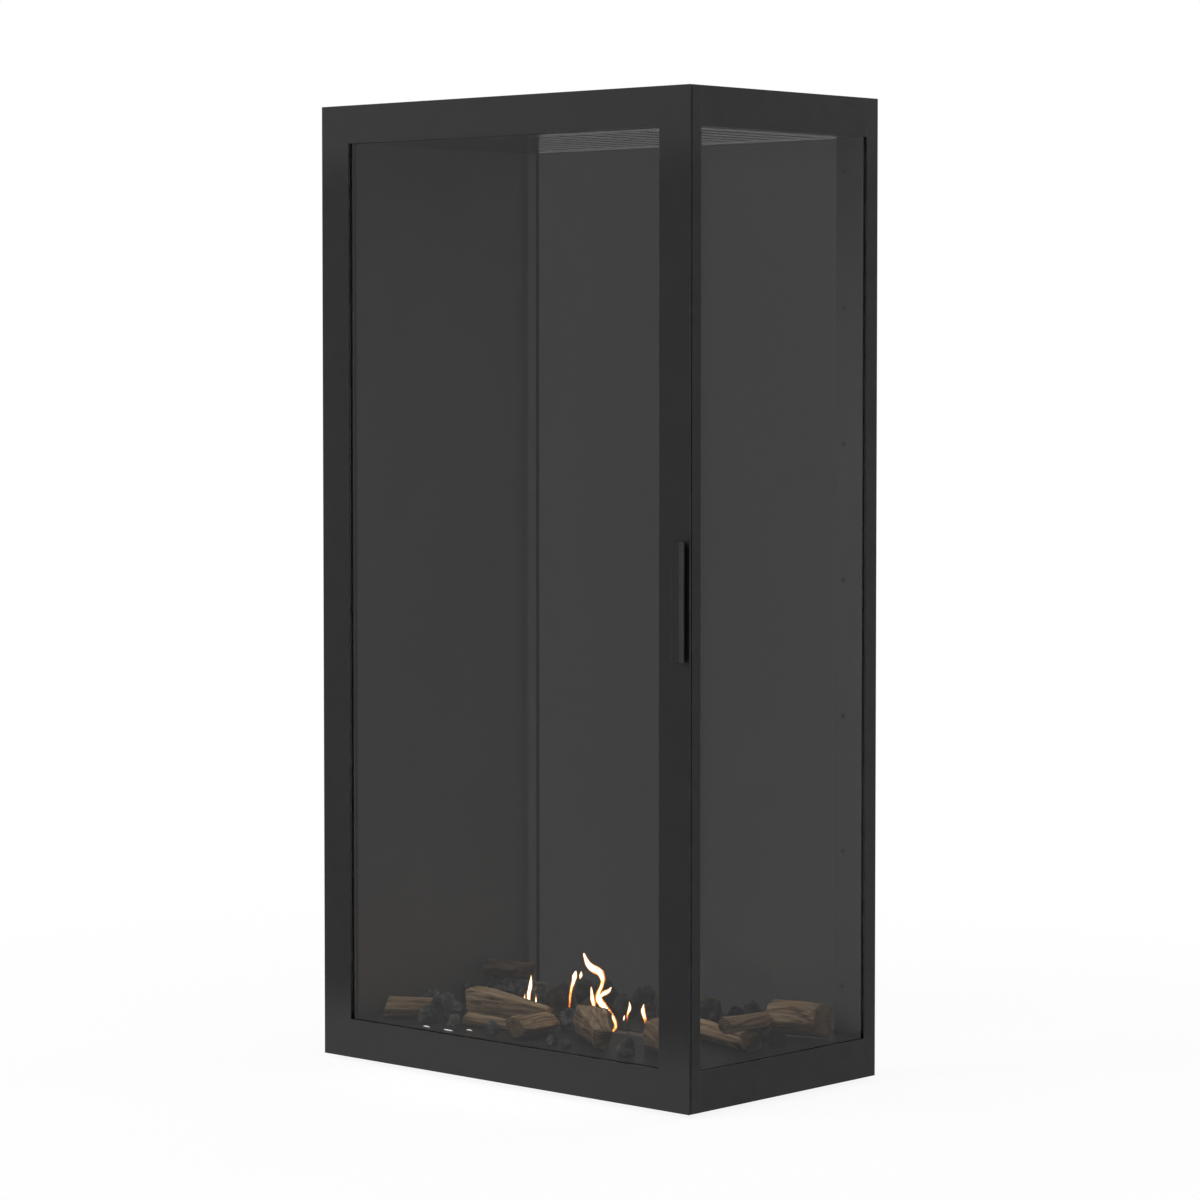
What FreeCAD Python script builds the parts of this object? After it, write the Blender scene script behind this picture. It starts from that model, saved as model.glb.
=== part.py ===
import FreeCAD, Part
import math
import os

import Sketcher

# Free-standing glazed fireplace, millimetres. +Z is up, the door looks along -Y, the glazed side
# along +X and the closed side along -X. The origin is on the floor, in the middle of the outline.

# Driving sizes
SIZES = {
    # Case and door outline
    "width": 700, "depth": 396, "height": 1364, "foot_height": 6,
    "stile": 54, "top_rail": 54, "bottom_rail": 55,
    "front_zone": 23, "rear_zone": 24, "side_zone": 24,
    "left_inset": 5, "left_wall": 42,
    "sheet": 2, "door_plate": 3, "door_gap": 2,
    # Panes, their sealing tape and the strips that hold them
    "glass": 4, "glass_lap": 12, "tape": 1, "door_tape": 1, "tape_set": 0.5,
    "strip_lip": 14, "door_strip_lip": 15,
    # Front frame behind the door
    "hinge_recess": 8, "frame_face": 28, "frame_hinge_face": 15,
    "seal_thick": 1.7, "seal_wide": 9, "seal_set": 3,
    # Lift-off hinges
    "hinge_in": 6, "hinge_back": 10, "barrel_radius": 5, "barrel_tall": 28,
    "pin_radius": 3, "pin_tall": 22, "pin_play": 0.05, "pin_top_play": 1,
    "washer_thick": 1.5, "washer_play": 0.3, "lug_thick": 4, "door_lug_wide": 6,
    "hinge_end": 180,
    # Handle and catch
    "handle_proud": 10, "handle_long": 160, "handle_flange": 14, "handle_reach": 15,
    "handle_plate": 2, "handle_edge": 2,
    "magnet_thick": 1.5, "magnet_wide": 10, "magnet_tall": 30, "magnet_edge": 4, "magnet_off": 250,
    # Base, feet and floor anchors
    "rail_flange": 38, "foot_radius": 18, "foot_tip_radius": 16, "foot_inset": 60,
    "anchor_inset_x": 104.5, "anchor_inset_y": 74.5, "anchor_hole_radius": 4.5,
    # Vents
    "cover_lap": 14, "vent_border": 40, "vent_slot_wide": 12, "vent_count": 15,
    "cover_slot_wide": 16, "cover_count": 14,
    # Hearth and burner
    "hearth_reach": 8, "hearth_side_gap": 2,
    "slot_wide": 50, "burner_gap": 5,
    "tray_end_over": 5, "tray_side_over": 20, "tray_tall": 42, "tray_wall": 1.5,
    "wool_tall": 32, "wool_play": 0.5,
    "lid_thick": 2, "lid_over": 7, "lid_gap": 1, "lid_play": 0.3, "lid_side_play": 0.5,
    "lid_hook_radius": 6, "lid_hook_in": 14,
    "runner_tall": 7, "runner_lip": 6, "runner_end": 6,
    # Play under a log that lies on another one
    "log_play": 0.3,
}
# Sizes worked out from the ones above, as the sheet's own formulas
LOG_SET_ASPECT = 0.555
DERIVED = {
    "floor_wide": "=width - left_inset - left_wall - side_zone",
    "floor_deep": "=depth - front_zone - rear_zone",
    "log_unit": f"=min(floor_deep; floor_wide * {LOG_SET_ASPECT})",
}

# Ceramic logs, in shares of the log unit: length, radius, height of the flat top over the flat base;
# place from the middle of the hearth floor; then the turn in degrees and the taper
LOGS = {
    "log_front_left": (0.195, 0.054, 0.097, -0.729, -0.385, 38, 0.1),
    "log_left_split": (0.390, 0.095, 0.138, -0.319, -0.196, 3, 0.35),
    "log_left_branch": (0.281, 0.032, 0.060, -0.291, -0.337, 6, 0.3),
    "log_front_middle": (0.252, 0.057, 0.100, -0.050, -0.354, 98, 0.15),
    "log_front_split": (0.372, 0.074, 0.143, 0.254, -0.317, -39, 0.3),
    "log_front_right": (0.269, 0.066, 0.132, 0.635, -0.334, -35, 0.12),
    "log_right_low": (0.430, 0.049, 0.086, 0.663, -0.001, -16, 0.0),
    "log_right_rear": (0.241, 0.080, 0.149, 0.752, 0.354, 10, 0.0),
    "log_rear_middle": (0.275, 0.063, 0.120, 0.125, 0.405, 8, 0.15),
    "log_rear_left": (0.344, 0.069, 0.097, -0.686, 0.239, -8, 0.0),
}
# Logs that lie on the flat top of another one: the same, then the log below
UPPER_LOGS = {
    "log_right_top": (0.275, 0.043, 0.077, 0.830, -0.070, 93, 0.2, "log_right_low"),
    "log_left_top": (0.223, 0.046, 0.077, -0.741, 0.234, 16, 0.15, "log_rear_left"),
}
# Coals: radius and height in shares of the log unit, then each one's place and size factor
COAL_RADIUS, COAL_TALL = 0.0544, 0.0860
FRONT_COALS = (
    (-0.577, -0.420, 0.9), (-0.583, -0.271, 1.2), (-0.678, -0.188, 1.1), (-0.784, -0.236, 1.0),
    (-0.855, -0.322, 0.8), (-0.027, -0.156, 1.1), (0.534, -0.437, 1.0), (-0.405, -0.443, 0.75),
    (-0.188, -0.446, 0.7), (0.471, -0.191, 1.1), (0.511, -0.082, 0.9), (0.242, -0.471, 0.5),
    (0.156, -0.460, 0.6), (0.105, -0.128, 0.6), (-0.841, -0.116, 1.0),
)
REAR_COALS = (
    (-0.830, 0.403, 1.1), (-0.818, 0.073, 1.1), (-0.669, 0.085, 1.2), (-0.400, 0.188, 1.45),
    (-0.297, 0.354, 1.5), (-0.440, 0.388, 1.2), (-0.211, 0.176, 1.2), (-0.119, 0.394, 1.3),
    (-0.073, 0.216, 1.2), (0.059, 0.228, 1.1), (0.196, 0.228, 1.2), (0.334, 0.274, 1.3),
    (0.357, 0.428, 1.0), (0.460, 0.170, 1.1), (0.514, 0.360, 1.4), (0.827, 0.122, 0.95),
    (0.712, 0.145, 0.9), (0.586, 0.176, 0.95),
)
# Form of the cast pieces: wave heights as shares of the radius, and turns from piece to piece
LOG_CORNERS, LOG_RINGS = 7, 7
LOG_SWELL, LOG_BARK, LOG_RIPPLE, LOG_BEND, LOG_SLANT, LOG_PHASE = 0.07, 0.20, 0.07, 0.22, 0.30, 1.7
COAL_CORNERS, COAL_ROUGH, COAL_TWIST, COAL_PHASE = 6, 0.16, 0.5, 0.9
COAL_LEVELS = ((0.0, 0.78), (0.35, 1.0), (0.75, 0.82), (1.0, 0.42))

doc = FreeCAD.newDocument("GlazedFireplace")
sheet = doc.addObject("Spreadsheet::Sheet", "Dims")
nodes = []


def fill_sheet():
    """Writes every driving size into the sheet under its own alias."""
    rows = SIZES | DERIVED
    for name, log in (LOGS | UPPER_LOGS).items():
        for part, share in zip(("long", "radius", "tall"), log):
            rows[f"{name}_{part}"] = f"={share} * log_unit"
    for row, (alias, value) in enumerate(rows.items(), start=1):
        sheet.set(f"A{row}", alias)
        sheet.set(f"B{row}", str(value))
        sheet.setAlias(f"B{row}", alias)
    doc.recompute()


def size(name):
    """Number that the sheet holds under an alias."""
    return float(getattr(sheet, name))


def plus(line, *names):
    """Expression for a line moved up its axis by named sizes."""
    return "(" + " + ".join([line] + [f"Dims.{name}" for name in names]) + ")"


def minus(line, *names):
    """Expression for a line moved down its axis by named sizes."""
    return "(" + " - ".join([line] + [f"Dims.{name}" for name in names]) + ")"


# Lines that the pieces share
DOOR_LEFT = "(-Dims.width / 2)"
DOOR_RIGHT = "(Dims.width / 2)"
CASE_LEFT = plus(DOOR_LEFT, "left_inset")
LINER = plus(CASE_LEFT, "left_wall")
SIDE_IN = minus(DOOR_RIGHT, "side_zone")
OPEN_LEFT = plus(DOOR_LEFT, "stile")
OPEN_RIGHT = minus(DOOR_RIGHT, "stile")
FRAME_LEFT = plus(CASE_LEFT, "hinge_recess")
FRAME_OPEN_LEFT = plus(FRAME_LEFT, "frame_hinge_face")
FRAME_OPEN_RIGHT = minus(DOOR_RIGHT, "frame_face")
DOOR_FACE = "((Dims.handle_proud - Dims.depth) / 2)"
DOOR_BACK = plus(DOOR_FACE, "door_plate")
CASE_FRONT = plus(DOOR_BACK, "door_gap")
FRONT_END = plus(DOOR_FACE, "front_zone")
CASE_REAR = plus(DOOR_FACE, "depth")
REAR_START = minus(CASE_REAR, "rear_zone")
CASE_BOTTOM = "Dims.foot_height"
CASE_TOP = plus(CASE_BOTTOM, "height")
SILL = plus(CASE_BOTTOM, "bottom_rail")
HEAD = minus(CASE_TOP, "top_rail")
COVER_UNDER = minus(CASE_TOP, "sheet", "sheet")
BURNER_Y = f"(({DOOR_FACE} + {CASE_REAR}) / 2)"
# Half the burner slot: two lids of that length park between it and the liner
SLOT_HALF = f"((-{LINER} - Dims.burner_gap - Dims.runner_end - 2 * Dims.lid_gap) / 2)"
HINGE_X = plus(DOOR_LEFT, "hinge_in")
HINGE_Y = plus(DOOR_FACE, "hinge_back")


def node(label, piece):
    """Keeps a piece as a sub-part under its own label."""
    piece.Label = label
    nodes.append(piece)
    return piece


def place(piece, x, y, z):
    """Binds a piece's position to three expressions."""
    for axis, line in zip("xyz", (x, y, z)):
        piece.setExpression(f"Placement.Base.{axis}", line)
    return piece


def block(name, x, y, z):
    """Box between three pairs of lines."""
    box = doc.addObject("Part::Box", name)
    for side, (low, high) in zip(("Length", "Width", "Height"), (x, y, z)):
        box.setExpression(side, f"{high} - {low}")
    return place(box, x[0], y[0], z[0])


def cylinder(name, radius, height, x, y, z):
    """Upright cylinder on a point."""
    rod = doc.addObject("Part::Cylinder", name)
    rod.setExpression("Radius", radius)
    rod.setExpression("Height", height)
    return place(rod, x, y, z)


def fuse(name, *pieces):
    """One solid from touching or crossing pieces."""
    joined = doc.addObject("Part::MultiFuse", name)
    joined.Shapes = list(pieces)
    joined.Refine = True
    return joined


def cut(name, base, tool):
    """Base less tool."""
    rest = doc.addObject("Part::Cut", name)
    rest.Base = base
    rest.Tool = tool
    return rest


def group(name, pieces):
    """Separate solids kept together as one sub-part."""
    held = doc.addObject("Part::Compound", name)
    held.Links = list(pieces)
    return held


def sketch_on(body, role, name, lift=None):
    """Empty sketch on one of the body's own planes, lifted along the plane's normal."""
    plane = next(item for item in body.Origin.OriginFeatures if item.Role == role)
    sketch = body.newObject("Sketcher::SketchObject", name)
    sketch.AttachmentSupport = (plane, "")
    sketch.MapMode = "FlatFace"
    if lift:
        sketch.setExpression("AttachmentOffset.Base.z", lift)
    return sketch


def fix_point(sketch, geometry, point, at, u, v):
    """Holds a sketch point at two expressions from the sketch's origin."""
    for kind, start, line in (("DistanceX", at.x, u), ("DistanceY", at.y, v)):
        held = sketch.addConstraint(Sketcher.Constraint(kind, -1, 1, geometry, point, start))
        sketch.setExpression(f"Constraints[{held}]", line)


def outline(sketch, points):
    """Closed straight-sided outline through points given as expressions."""
    count = len(points)
    first = sketch.GeometryCount
    turns = [2 * math.pi * (index / count - 0.37) for index in range(count)]
    starts = [FreeCAD.Vector(math.cos(turn), math.sin(turn), 0) for turn in turns]
    for index in range(count):
        sketch.addGeometry(Part.LineSegment(starts[index], starts[(index + 1) % count]), False)
    for index in range(count):
        after = first + (index + 1) % count
        sketch.addConstraint(Sketcher.Constraint("Coincident", first + index, 2, after, 1))
    for index, (u, v) in enumerate(points):
        fix_point(sketch, first + index, 1, starts[index], u, v)


def rectangle(sketch, u, v):
    """Rectangle between two pairs of lines."""
    outline(sketch, [(u[0], v[0]), (u[1], v[0]), (u[1], v[1]), (u[0], v[1])])


def circle(sketch, radius, u, v):
    """Circle of a named radius about a point."""
    centre = FreeCAD.Vector(1, 1, 0)
    rim = sketch.addGeometry(Part.Circle(centre, FreeCAD.Vector(0, 0, 1), 1), False)
    held = sketch.addConstraint(Sketcher.Constraint("Radius", rim, 1.0))
    sketch.setExpression(f"Constraints[{held}]", radius)
    fix_point(sketch, rim, 3, centre, u, v)


def long_slot(sketch, wide, u, v):
    """Round-ended slot along the sketch's upright axis, from v[0] to v[1]."""
    radius = size(wide) / 2
    up = FreeCAD.Vector(0, 0, 1)
    low = FreeCAD.Vector(-size("width") / 3, -size("depth") / 3, 0)
    high = FreeCAD.Vector(-size("width") / 3, size("depth") / 3, 0)
    side = FreeCAD.Vector(radius, 0, 0)
    under = sketch.addGeometry(Part.ArcOfCircle(Part.Circle(low, up, radius), math.pi, 2 * math.pi), False)
    over = sketch.addGeometry(Part.ArcOfCircle(Part.Circle(high, up, radius), 0, math.pi), False)
    right = sketch.addGeometry(Part.LineSegment(low + side, high + side), False)
    left = sketch.addGeometry(Part.LineSegment(high - side, low - side), False)
    for first, second in ((under, right), (right, over), (over, left), (left, under)):
        sketch.addConstraint(Sketcher.Constraint("Tangent", first, 2, second, 1))
    for line in (right, left):
        sketch.addConstraint(Sketcher.Constraint("Vertical", line))
    held = sketch.addConstraint(Sketcher.Constraint("Radius", under, radius))
    sketch.setExpression(f"Constraints[{held}]", f"Dims.{wide} / 2")
    fix_point(sketch, under, 3, low, u, f"{v[0]} + Dims.{wide} / 2")
    held = sketch.addConstraint(Sketcher.Constraint("DistanceY", -1, 1, over, 3, high.y))
    sketch.setExpression(f"Constraints[{held}]", f"{v[1]} - Dims.{wide} / 2")


def pad(body, sketch, length):
    """Solid along the sketch's normal."""
    grown = body.newObject("PartDesign::Pad", f"{body.Name}_pad")
    grown.Profile = sketch
    grown.setExpression("Length", length)
    doc.recompute()
    return grown


def pocket(body, sketch, length=None, reverse=False):
    """Cut against the sketch's normal, or right through where no length is given."""
    before = body.Shape.Volume
    taken = body.newObject("PartDesign::Pocket", f"{sketch.Name}_cut")
    taken.Profile = sketch
    taken.Reversed = reverse
    if length:
        taken.setExpression("Length", length)
    else:
        taken.Type = "ThroughAll"
        taken.Midplane = True
    doc.recompute()
    if taken.Shape.Volume >= before:
        raise RuntimeError(f"{sketch.Name} takes nothing from {body.Name}")
    return taken


def row_of(body, feature, sketch, length, count):
    """Repeats a cut along the sketch's level axis."""
    pattern = body.newObject("PartDesign::LinearPattern", f"{feature.Name}_row")
    pattern.Originals = [feature]
    pattern.Direction = (sketch, ["H_Axis"])
    pattern.setExpression("Length", length)
    pattern.setExpression("Occurrences", count)
    body.Tip = pattern
    doc.recompute()


def strips(name, facing, u, v, reach, legs):
    """Four strips round a window, each one solid made of legs.

    facing is the axis that the window looks along, u and v are the window's edges, and reach is how
    far past the window the uprights run. A leg is two expressions for how far out from the edge it
    runs, then the two lines that it lies between.
    """
    upright = (f"({v[0]} - {reach})", f"({v[1]} + {reach})")
    solids = []
    for edge in ("left", "right", "head", "sill"):
        parts = []
        for leg, (near, far, start, end) in enumerate(legs):
            across, tall = {
                "left": ((f"({u[0]} - {far})", f"({u[0]} - {near})"), upright),
                "right": ((f"({u[1]} + {near})", f"({u[1]} + {far})"), upright),
                "head": (u, (f"({v[1]} + {near})", f"({v[1]} + {far})")),
                "sill": (u, (f"({v[0]} - {far})", f"({v[0]} - {near})")),
            }[edge]
            x, y = (across, (start, end)) if facing == "y" else ((start, end), across)
            parts.append(block(f"{name}_{edge}_{leg}", x, y, tall))
        solids.append(fuse(f"{name}_{edge}", *parts) if len(parts) > 1 else parts[0])
    return node(name, group(name, solids))


def tray(name, x, y, z, wall, floor):
    """Open-topped sheet tray between three pairs of lines."""
    body = doc.addObject("PartDesign::Body", name)
    place(body, "0", "0", z[0])
    plan = sketch_on(body, "XY_Plane", f"{name}_plan")
    rectangle(plan, x, y)
    pad(body, plan, f"{z[1]} - {z[0]}")
    inside = sketch_on(body, "XY_Plane", f"{name}_inside", f"{z[1]} - {z[0]}")
    rectangle(inside, (f"{x[0]} + {wall}", f"{x[1]} - {wall}"), (f"{y[0]} + {wall}", f"{y[1]} - {wall}"))
    pocket(body, inside, f"{z[1]} - {z[0]} - {floor}")
    return node(name, body)


def profile_bar(name, points, y):
    """Folded section in the XZ plane, drawn out between two lines along Y."""
    body = doc.addObject("PartDesign::Body", name)
    place(body, "0", y[1], "0")
    section = sketch_on(body, "XZ_Plane", f"{name}_section")
    outline(section, points)
    pad(body, section, f"{y[1]} - {y[0]}")
    return node(name, body)


def framed_plate(name, x, y, z, window_x, window_z):
    """Upright plate with a window, looking along -Y."""
    body = doc.addObject("PartDesign::Body", name)
    place(body, "0", y[1], "0")
    face = sketch_on(body, "XZ_Plane", f"{name}_face")
    rectangle(face, x, z)
    rectangle(face, window_x, window_z)
    pad(body, face, f"{y[1]} - {y[0]}")
    return node(name, body)


# Door
def door():
    """Overlay door: laser-cut plate, pane on tape, holding strips, seal and folded pull."""
    framed_plate(
        "door_panel", (DOOR_LEFT, DOOR_RIGHT), (DOOR_FACE, DOOR_BACK), (CASE_BOTTOM, CASE_TOP),
        (OPEN_LEFT, OPEN_RIGHT), (SILL, HEAD),
    )
    pane_front = plus(DOOR_BACK, "door_tape")
    pane_back = plus(pane_front, "glass")
    window = (OPEN_LEFT, OPEN_RIGHT), (SILL, HEAD)
    tape_leg = ("Dims.tape_set", "Dims.glass_lap", DOOR_BACK, pane_front)
    strips("door_tape", "y", *window, "Dims.glass_lap", [tape_leg])
    node("door_glass", block(
        "door_glass",
        (minus(OPEN_LEFT, "glass_lap"), plus(OPEN_RIGHT, "glass_lap")),
        (pane_front, pane_back),
        (minus(SILL, "glass_lap"), plus(HEAD, "glass_lap")),
    ))
    lip_end = plus(pane_back, "sheet")
    strips("door_glass_strips", "y", *window, "Dims.door_strip_lip", [
        ("0", "Dims.door_strip_lip", pane_back, lip_end),
        ("(Dims.door_strip_lip - Dims.sheet)", "Dims.door_strip_lip", DOOR_BACK, lip_end),
    ])
    seal_x = minus(FRAME_OPEN_LEFT, "seal_set"), plus(FRAME_OPEN_RIGHT, "seal_set")
    seal_z = (
        minus(plus(CASE_BOTTOM, "frame_face"), "seal_set"),
        plus(minus(CASE_TOP, "frame_face"), "seal_set"),
    )
    seal_end = plus(DOOR_BACK, "seal_thick")
    strips("door_seal", "y", seal_x, seal_z, "Dims.seal_wide", [("0", "Dims.seal_wide", DOOR_BACK, seal_end)])

    pull = doc.addObject("PartDesign::Body", "door_handle")
    place(
        pull,
        minus(DOOR_RIGHT, "handle_edge", "handle_reach", "handle_flange"),
        DOOR_FACE,
        f"({CASE_BOTTOM} + (Dims.height - Dims.handle_long) / 2)",
    )
    fold = sketch_on(pull, "XY_Plane", "handle_fold")
    tip = "Dims.handle_flange + Dims.handle_reach"
    outline(fold, [
        ("0", "0"), ("Dims.handle_flange", "0"), (tip, "Dims.handle_plate - Dims.handle_proud"),
        (tip, "-Dims.handle_proud"), ("Dims.handle_flange", "-Dims.handle_plate"),
        ("0", "-Dims.handle_plate"),
    ])
    pad(pull, fold, "Dims.handle_long")
    node("door_handle", pull)


# Hinges
def hinges():
    """Three lift-off hinges: pinned half on the case, washer, sleeve half on the door."""
    heights = {
        "bottom": plus(CASE_BOTTOM, "hinge_end"),
        "middle": f"({CASE_BOTTOM} + Dims.height / 2)",
        "top": minus(CASE_TOP, "hinge_end"),
    }
    half_lug = "Dims.lug_thick / 2"
    half_door_lug = "Dims.door_lug_wide / 2"
    for name, seat in heights.items():
        foot = minus(seat, "barrel_tall")
        case_half = f"hinge_{name}_case_half"
        barrel = cylinder(
            f"{case_half}_barrel", "Dims.barrel_radius", "Dims.barrel_tall", HINGE_X, HINGE_Y, foot,
        )
        pin = cylinder(f"{case_half}_pin", "Dims.pin_radius", "Dims.pin_tall", HINGE_X, HINGE_Y, seat)
        lug = block(
            f"{case_half}_lug", (HINGE_X, FRAME_LEFT),
            (f"({HINGE_Y} - {half_lug})", f"({HINGE_Y} + {half_lug})"), (foot, seat),
        )
        node(case_half, fuse(case_half, barrel, pin, lug))

        washer = f"hinge_{name}_washer"
        disc = cylinder(f"{washer}_disc", "Dims.barrel_radius", "Dims.washer_thick", HINGE_X, HINGE_Y, seat)
        hole = cylinder(
            f"{washer}_hole", "Dims.pin_radius + Dims.washer_play", "Dims.washer_thick",
            HINGE_X, HINGE_Y, seat,
        )
        node(washer, cut(washer, disc, hole))

        door_half = f"hinge_{name}_door_half"
        start = plus(seat, "washer_thick")
        end = plus(start, "barrel_tall")
        sleeve = cylinder(
            f"{door_half}_sleeve", "Dims.barrel_radius", "Dims.barrel_tall", HINGE_X, HINGE_Y, start,
        )
        tab = block(
            f"{door_half}_tab", (f"({HINGE_X} - {half_door_lug})", f"({HINGE_X} + {half_door_lug})"),
            (DOOR_BACK, HINGE_Y), (start, end),
        )
        bore = cylinder(
            f"{door_half}_bore", "Dims.pin_radius + Dims.pin_play",
            "Dims.pin_tall - Dims.washer_thick + Dims.pin_top_play", HINGE_X, HINGE_Y, start,
        )
        node(door_half, cut(door_half, fuse(f"{door_half}_solid", sleeve, tab), bore))


# Case frames
def front_frame():
    """Folded channel frame that the door closes on, with a catch magnet pair."""
    body = doc.addObject("PartDesign::Body", "front_frame")
    place(body, "0", FRONT_END, "0")
    deep = "(Dims.front_zone - Dims.door_plate - Dims.door_gap)"
    window_x = (FRAME_OPEN_LEFT, FRAME_OPEN_RIGHT)
    window_z = (plus(CASE_BOTTOM, "frame_face"), minus(CASE_TOP, "frame_face"))
    face = sketch_on(body, "XZ_Plane", "front_frame_face")
    rectangle(face, (FRAME_LEFT, DOOR_RIGHT), (CASE_BOTTOM, CASE_TOP))
    rectangle(face, window_x, window_z)
    pad(body, face, deep)
    channel = sketch_on(body, "XZ_Plane", "front_frame_channel")
    rectangle(
        channel, (plus(FRAME_LEFT, "sheet"), minus(DOOR_RIGHT, "sheet")),
        (plus(CASE_BOTTOM, "sheet"), minus(CASE_TOP, "sheet")),
    )
    rectangle(
        channel, (minus(window_x[0], "sheet"), plus(window_x[1], "sheet")),
        (minus(window_z[0], "sheet"), plus(window_z[1], "sheet")),
    )
    pocket(body, channel, f"{deep} - Dims.sheet", reverse=True)
    node("front_frame", body)

    middle = f"({CASE_BOTTOM} + Dims.height / 2)"
    edge = minus(DOOR_RIGHT, "magnet_edge")
    magnets = []
    for name, sign in (("lower", "-"), ("upper", "+")):
        centre = f"({middle} {sign} Dims.magnet_off)"
        magnets.append(block(
            f"catch_magnet_{name}", (minus(edge, "magnet_wide"), edge),
            (minus(CASE_FRONT, "magnet_thick"), CASE_FRONT),
            (f"({centre} - Dims.magnet_tall / 2)", f"({centre} + Dims.magnet_tall / 2)"),
        ))
    node("catch_magnets", group("catch_magnets", magnets))


def rear_window():
    """Rear frame with a turned-in rim, its pane, tape and holding strips."""
    body = doc.addObject("PartDesign::Body", "rear_frame")
    place(body, "0", CASE_REAR, "0")
    face = sketch_on(body, "XZ_Plane", "rear_frame_face")
    rectangle(face, (CASE_LEFT, DOOR_RIGHT), (CASE_BOTTOM, CASE_TOP))
    rectangle(face, (OPEN_LEFT, OPEN_RIGHT), (SILL, HEAD))
    pad(body, face, "Dims.rear_zone")
    inside = sketch_on(body, "XZ_Plane", "rear_frame_inside", "Dims.rear_zone")
    rectangle(
        inside, (plus(CASE_LEFT, "sheet"), minus(DOOR_RIGHT, "sheet")),
        (plus(CASE_BOTTOM, "sheet"), minus(CASE_TOP, "sheet")),
    )
    pocket(body, inside, "Dims.rear_zone - Dims.sheet")
    node("rear_frame", body)

    window = (OPEN_LEFT, OPEN_RIGHT), (SILL, HEAD)
    tape_end = minus(CASE_REAR, "sheet")
    pane_back = minus(tape_end, "tape")
    pane_front = minus(pane_back, "glass")
    tape_leg = ("Dims.tape_set", "Dims.glass_lap", pane_back, tape_end)
    strips("rear_tape", "y", *window, "Dims.glass_lap", [tape_leg])
    node("rear_glass", block(
        "rear_glass",
        (minus(OPEN_LEFT, "glass_lap"), plus(OPEN_RIGHT, "glass_lap")),
        (pane_front, pane_back),
        (minus(SILL, "glass_lap"), plus(HEAD, "glass_lap")),
    ))
    flange = "(Dims.stile - Dims.side_zone)"
    strips("rear_glass_strips", "y", *window, flange, [
        ("0", "Dims.strip_lip", minus(pane_front, "sheet"), pane_front),
        ("0", "Dims.sheet", REAR_START, pane_front),
        ("0", flange, REAR_START, plus(REAR_START, "sheet")),
    ])


def side_window():
    """Glazed side: folded rails between the frames, pane, tape and holding strips."""
    side_face = minus(DOOR_RIGHT, "sheet")
    inner_face = plus(SIDE_IN, "sheet")
    flange_top = plus(CASE_BOTTOM, "rail_flange")
    run = (FRONT_END, REAR_START)
    profile_bar("side_bottom_rail", [
        (SIDE_IN, CASE_BOTTOM), (DOOR_RIGHT, CASE_BOTTOM), (DOOR_RIGHT, SILL), (side_face, SILL),
        (side_face, plus(CASE_BOTTOM, "sheet")), (inner_face, plus(CASE_BOTTOM, "sheet")),
        (inner_face, flange_top), (SIDE_IN, flange_top),
    ], run)
    under = minus(CASE_TOP, "sheet")
    profile_bar("side_top_rail", [
        (side_face, HEAD), (DOOR_RIGHT, HEAD), (DOOR_RIGHT, CASE_TOP), (SIDE_IN, CASE_TOP),
        (SIDE_IN, under), (side_face, under),
    ], run)

    window = run, (SILL, HEAD)
    pane_out = minus(side_face, "tape")
    pane_in = minus(pane_out, "glass")
    tape_leg = ("Dims.tape_set", "Dims.glass_lap", pane_out, side_face)
    strips("side_tape", "x", *window, "Dims.glass_lap", [tape_leg])
    node("side_glass", block(
        "side_glass", (pane_in, pane_out),
        (minus(FRONT_END, "glass_lap"), plus(REAR_START, "glass_lap")),
        (minus(SILL, "glass_lap"), plus(HEAD, "glass_lap")),
    ))
    strips("side_glass_strips", "x", *window, "Dims.strip_lip", [
        ("0", "Dims.strip_lip", minus(pane_in, "sheet"), pane_in),
        ("0", "Dims.sheet", SIDE_IN, pane_in),
    ])


def closed_side():
    """Closed left side: outer tray, insulation board and inner liner."""
    body = doc.addObject("PartDesign::Body", "left_outer_panel")
    place(body, CASE_LEFT, "0", "0")
    deep = "(Dims.left_wall - Dims.sheet)"
    face = sketch_on(body, "YZ_Plane", "left_panel_face")
    rectangle(face, (FRONT_END, REAR_START), (CASE_BOTTOM, CASE_TOP))
    pad(body, face, deep)
    inside = sketch_on(body, "YZ_Plane", "left_panel_inside", deep)
    rectangle(
        inside, (plus(FRONT_END, "sheet"), minus(REAR_START, "sheet")),
        (plus(CASE_BOTTOM, "sheet"), minus(CASE_TOP, "sheet")),
    )
    pocket(body, inside, f"{deep} - Dims.sheet")
    node("left_outer_panel", body)
    node("left_insulation", block(
        "left_insulation", (plus(CASE_LEFT, "sheet"), minus(LINER, "sheet")),
        (plus(FRONT_END, "sheet"), minus(REAR_START, "sheet")),
        (plus(CASE_BOTTOM, "sheet"), COVER_UNDER),
    ))
    node("left_liner", block(
        "left_liner", (minus(LINER, "sheet"), LINER), (FRONT_END, REAR_START), (CASE_BOTTOM, COVER_UNDER),
    ))


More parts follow.
